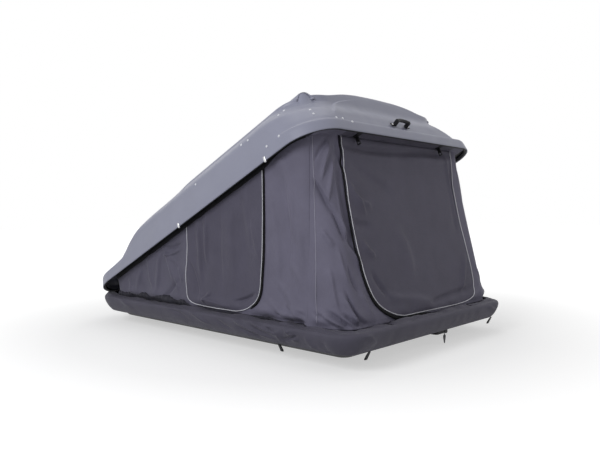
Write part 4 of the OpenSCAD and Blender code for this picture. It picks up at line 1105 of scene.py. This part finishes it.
# Slots in the ledge, which let the catches of the lid down to the lock rods
SLOT_X = HALF_L - 0.064
SLOT_Y = 0.355
SLOT = (0.028, 0.022, 0.03)
outer_rings = []
for (inset, z), way_up in zip(line, line_way):
    ring = tray_ring(inset, z)
    step = np.roll(ring, -1, axis=0) - np.roll(ring, 1, axis=0)
    out = np.stack([step[:, 1], -step[:, 0]], axis=1)
    out /= np.linalg.norm(out, axis=1)[:, None]
    slack = smooth(0.168, 0.14, z) * smooth(0.08, 0.095, z)
    big = skirt_noise(ring, 0.5, 5.0, 2)
    small = skirt_noise(ring, 0.35, 22.0, 5)
    gather = skirt_noise(ring, 0.1, 60.0, 8) * smooth(0.115, 0.082, z)
    level = np.full(len(ring), way_up)
    on_side = smooth(0.60, 0.66, np.abs(ring[:, 1]))
    on_front = smooth(0.94, 0.99, ring[:, 0]) * (1 - on_side)
    crease = 1.4 * (on_side * creases(ring[:, 0], level, SKIRT_FOLDS)
                    + on_front * creases(ring[:, 1], level, SKIRT_FRONT_FOLDS))
    flat = smooth(0.158, 0.1705, z) * (inset > 0.018)
    push = slack * (0.004 * big + 0.0022 * small) + 0.0016 * gather
    push = push + crease * (1 - flat) * smooth(0.08, 0.09, z)
    ring[:, :2] += out * push[:, None]
    roll = 0.55 + 0.9 * skirt_noise(ring, 0, 6.5, 11) + 0.5 * skirt_noise(ring, 0, 19.0, 12)
    roll = np.clip(roll, 0.05, 1.3)
    rear = smooth(-0.72, -0.86, ring[:, 0])
    near_slot = np.exp(-(((np.abs(ring[:, 1]) - SLOT_Y) / 0.035) ** 4)) * smooth(0.8, 0.9, ring[:, 0])
    pleat = 0.5 * np.clip(crease, -0.006, 0.010)
    ring[:, 2] += flat * (0.0125 * roll * (1 - rear) * (1 - near_slot) * smooth(0.032, 0.066, inset)
                          + pleat * (1 - near_slot) * smooth(0.034, 0.046, inset)
                          + 0.012 * rear * smooth(0.022, 0.04, inset))
    ring[:, 2] += 0.0016 * smooth(0.1, 0.08, z) * skirt_noise(ring, 0, 26.0, 14)
    outer_rings.append(ring)
SKIRT_INSIDE = [(0.08, 0.1685), (0.027, 0.1683), (0.0225, 0.16), (0.04, 0.108), (0.0615, 0.0805)]
inner_rings = [tray_ring(inset, z) for inset, z in SKIRT_INSIDE]
all_rings = outer_rings + inner_rings
count = len(all_rings[0])
verts = np.concatenate(all_rings)
faces = ring_faces(len(all_rings), count)
last = (len(all_rings) - 1) * count
faces += [(last + j, last + (j + 1) % count, (j + 1) % count, j) for j in range(count)]
skirt = new_piece("skirt_cover", verts, faces, SKIRT_CLOTH, "base")
slots = []
for side in (-1, 1):
    v, f = soft_box(SLOT, 0.004)
    slots.append((v + np.array([SLOT_X, side * SLOT_Y, LEDGE_Z]), f))
cut_away(skirt, *join_parts(slots))
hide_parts("skirt")
skirt_long = 0.0
for ring in outer_rings:
    step = np.roll(ring, -1, axis=0) - ring
    skirt_long = max(skirt_long, float(np.linalg.norm(step, axis=1).sum()))

# Rolled edge of the hem
hem = tray_ring(0.0605, 0.0825)
verts, faces = tube_mesh(np.concatenate([hem, hem[:1]]), (0, 0, 1), 0.0028, 8)
new_piece("hem_edge", verts, faces, SKIRT_CLOTH, "base")

# Mattress with a crown, drawn-in sides and a welt round its edges
bed_lo, bed_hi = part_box("mattress")
BED_RADII = (0.13, 0.07)
# Inset, share of the height and pull of the sides, from the foot to the crown
BED_ROWS = [
    (0.014, 0.0, 0.0), (0.004, 0.04, 0.002), (0.0, 0.1, 0.004), (0.002, 0.16, 0.005), (0.005, 0.5, 0.008),
    (0.002, 0.84, 0.005), (0.0, 0.88, 0.004), (0.003, 0.92, 0.004), (0.02, 0.955, 0.002),
    (0.06, 0.975, 0.0), (0.15, 0.99, 0.0), (0.3, 0.998, 0.0), (0.5, 1.0, 0.0),
]
bed_rings = []
for inset, share, pull in BED_ROWS:
    ends = (bed_lo.x + inset, bed_hi.x - inset)
    z = bed_lo.z + share * (bed_hi.z - bed_lo.z)
    bed_rings.append(round_rect(ends, bed_hi.y - inset, BED_RADII, 8, (30,) * 4, z, pull))
verts, faces = capped_rings(bed_rings)
bed = new_piece("mattress_pad", verts, faces, COVER, "base")
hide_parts("mattress")


# Materials of the solids that stay

def pairs(*names):
    """Names of the left and the right piece of each pair."""
    return [name + side for name in names for side in ("_left", "_right")]


FINISHES = {
    TRAY_BLACK: ["base_tray"],
    PLYWOOD: ["floor_panel"],
    ALUMINIUM: ["cross_beams"] + pairs("mounting_rail"),
    # The fabric rail is grey like the lid but takes black here: painted shade under the rim
    BLACK: ["rail_end_caps", "skirt_hooks", "lock_housing", "rod_guides", "lid_handle", "lid_catches",
            "fabric_rail"],
    BRIGHT: ["rail_bolts", "handle_screws"] + pairs("hinge_pin", "lock_rod"),
    BRACKET: pairs("hinge_base_leaf", "hinge_lid_leaf", "strut_base_bracket", "strut_lid_bracket"),
    ENAMEL: pairs("strut_cylinder"),
    CHROME: ["lock_plug"] + pairs("strut_rod"),
    KEY_METAL: ["key"],
    RUBBER: ["lid_seal"],
}
for material, names in FINISHES.items():
    for name in names:
        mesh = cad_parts[name].data
        mesh.materials.clear()
        mesh.materials.append(material)


# Floor, world and lamps

def seen_by_eye(tree):
    """1 for rays that come from the camera, a mirror or glass, and 0 for those that only light."""
    paths = add_node(tree, "ShaderNodeLightPath")
    rays = [(paths, "Is " + kind + " Ray") for kind in ("Camera", "Glossy", "Transmission")]
    return combined(tree, "MAXIMUM", rays)


FLOOR = 30.0
floor_corners = [(-FLOOR, -FLOOR, 0), (FLOOR, -FLOOR, 0), (FLOOR, FLOOR, 0), (-FLOOR, FLOOR, 0)]
floor_mesh = plain_mesh("floor", floor_corners, [(0, 1, 2, 3)])
floor_mat, tree, bsdf = base_material("floor_white", 0.9)
bsdf.inputs["Base Color"].default_value = (0.6, 0.6, 0.6, 1)
bsdf.inputs["Specular IOR Level"].default_value = 0.0
bsdf.inputs["Emission Color"].default_value = (1, 1, 1, 1)
coords = add_node(tree, "ShaderNodeTexCoord")
far = add_node(tree, "ShaderNodeVectorMath", operation="LENGTH")
glow = map_range(tree, (1.2, 3.2), (0.5, 1.0))
wire(coords, "Object", far, 0)
wire(far, "Value", glow, "Value")
level = add_node(tree, "ShaderNodeMath", operation="MULTIPLY")
wire(glow, "Result", level, 0)
wire(seen_by_eye(tree), "Value", level, 1)
wire(level, "Value", bsdf, "Emission Strength")
floor_mesh.materials.append(floor_mat)
floor = add_object("floor", floor_mesh)

world = bpy.data.worlds.new("world")
scene.world = world
world.use_nodes = True
tree = world.node_tree
sky = tree.nodes["Background"]
sky.inputs["Color"].default_value = (1.0, 1.0, 1.0, 1)
level = map_range(tree, (0.0, 1.0), (0.32, 1.0))
wire(seen_by_eye(tree), "Value", level, "Value")
wire(level, "Result", sky, "Strength")


def lamp(name, place, target, size, power, color=(1, 1, 1)):
    data = bpy.data.lights.new(name, "AREA")
    data.shape = "RECTANGLE"
    data.size, data.size_y = size
    data.energy = power
    data.color = color
    obj = add_object(name, data)
    obj.location = place
    obj.rotation_euler = (Vector(target) - Vector(place)).to_track_quat("-Z", "Y").to_euler()


lamp("key", (0.8, -4.6, 2.6), (0.3, -0.3, 0.5), (2.2, 1.8), 102, (0.97, 0.98, 1.0))
lamp("fill", (4.2, 0.6, 2.2), (0.5, 0.0, 0.6), (2.6, 2.6), 15, (1.0, 0.98, 0.96))
lamp("top", (-0.4, 0.4, 4.6), (0.0, 0.0, 0.6), (3.0, 3.0), 24)

scene.view_settings.view_transform = "Standard"
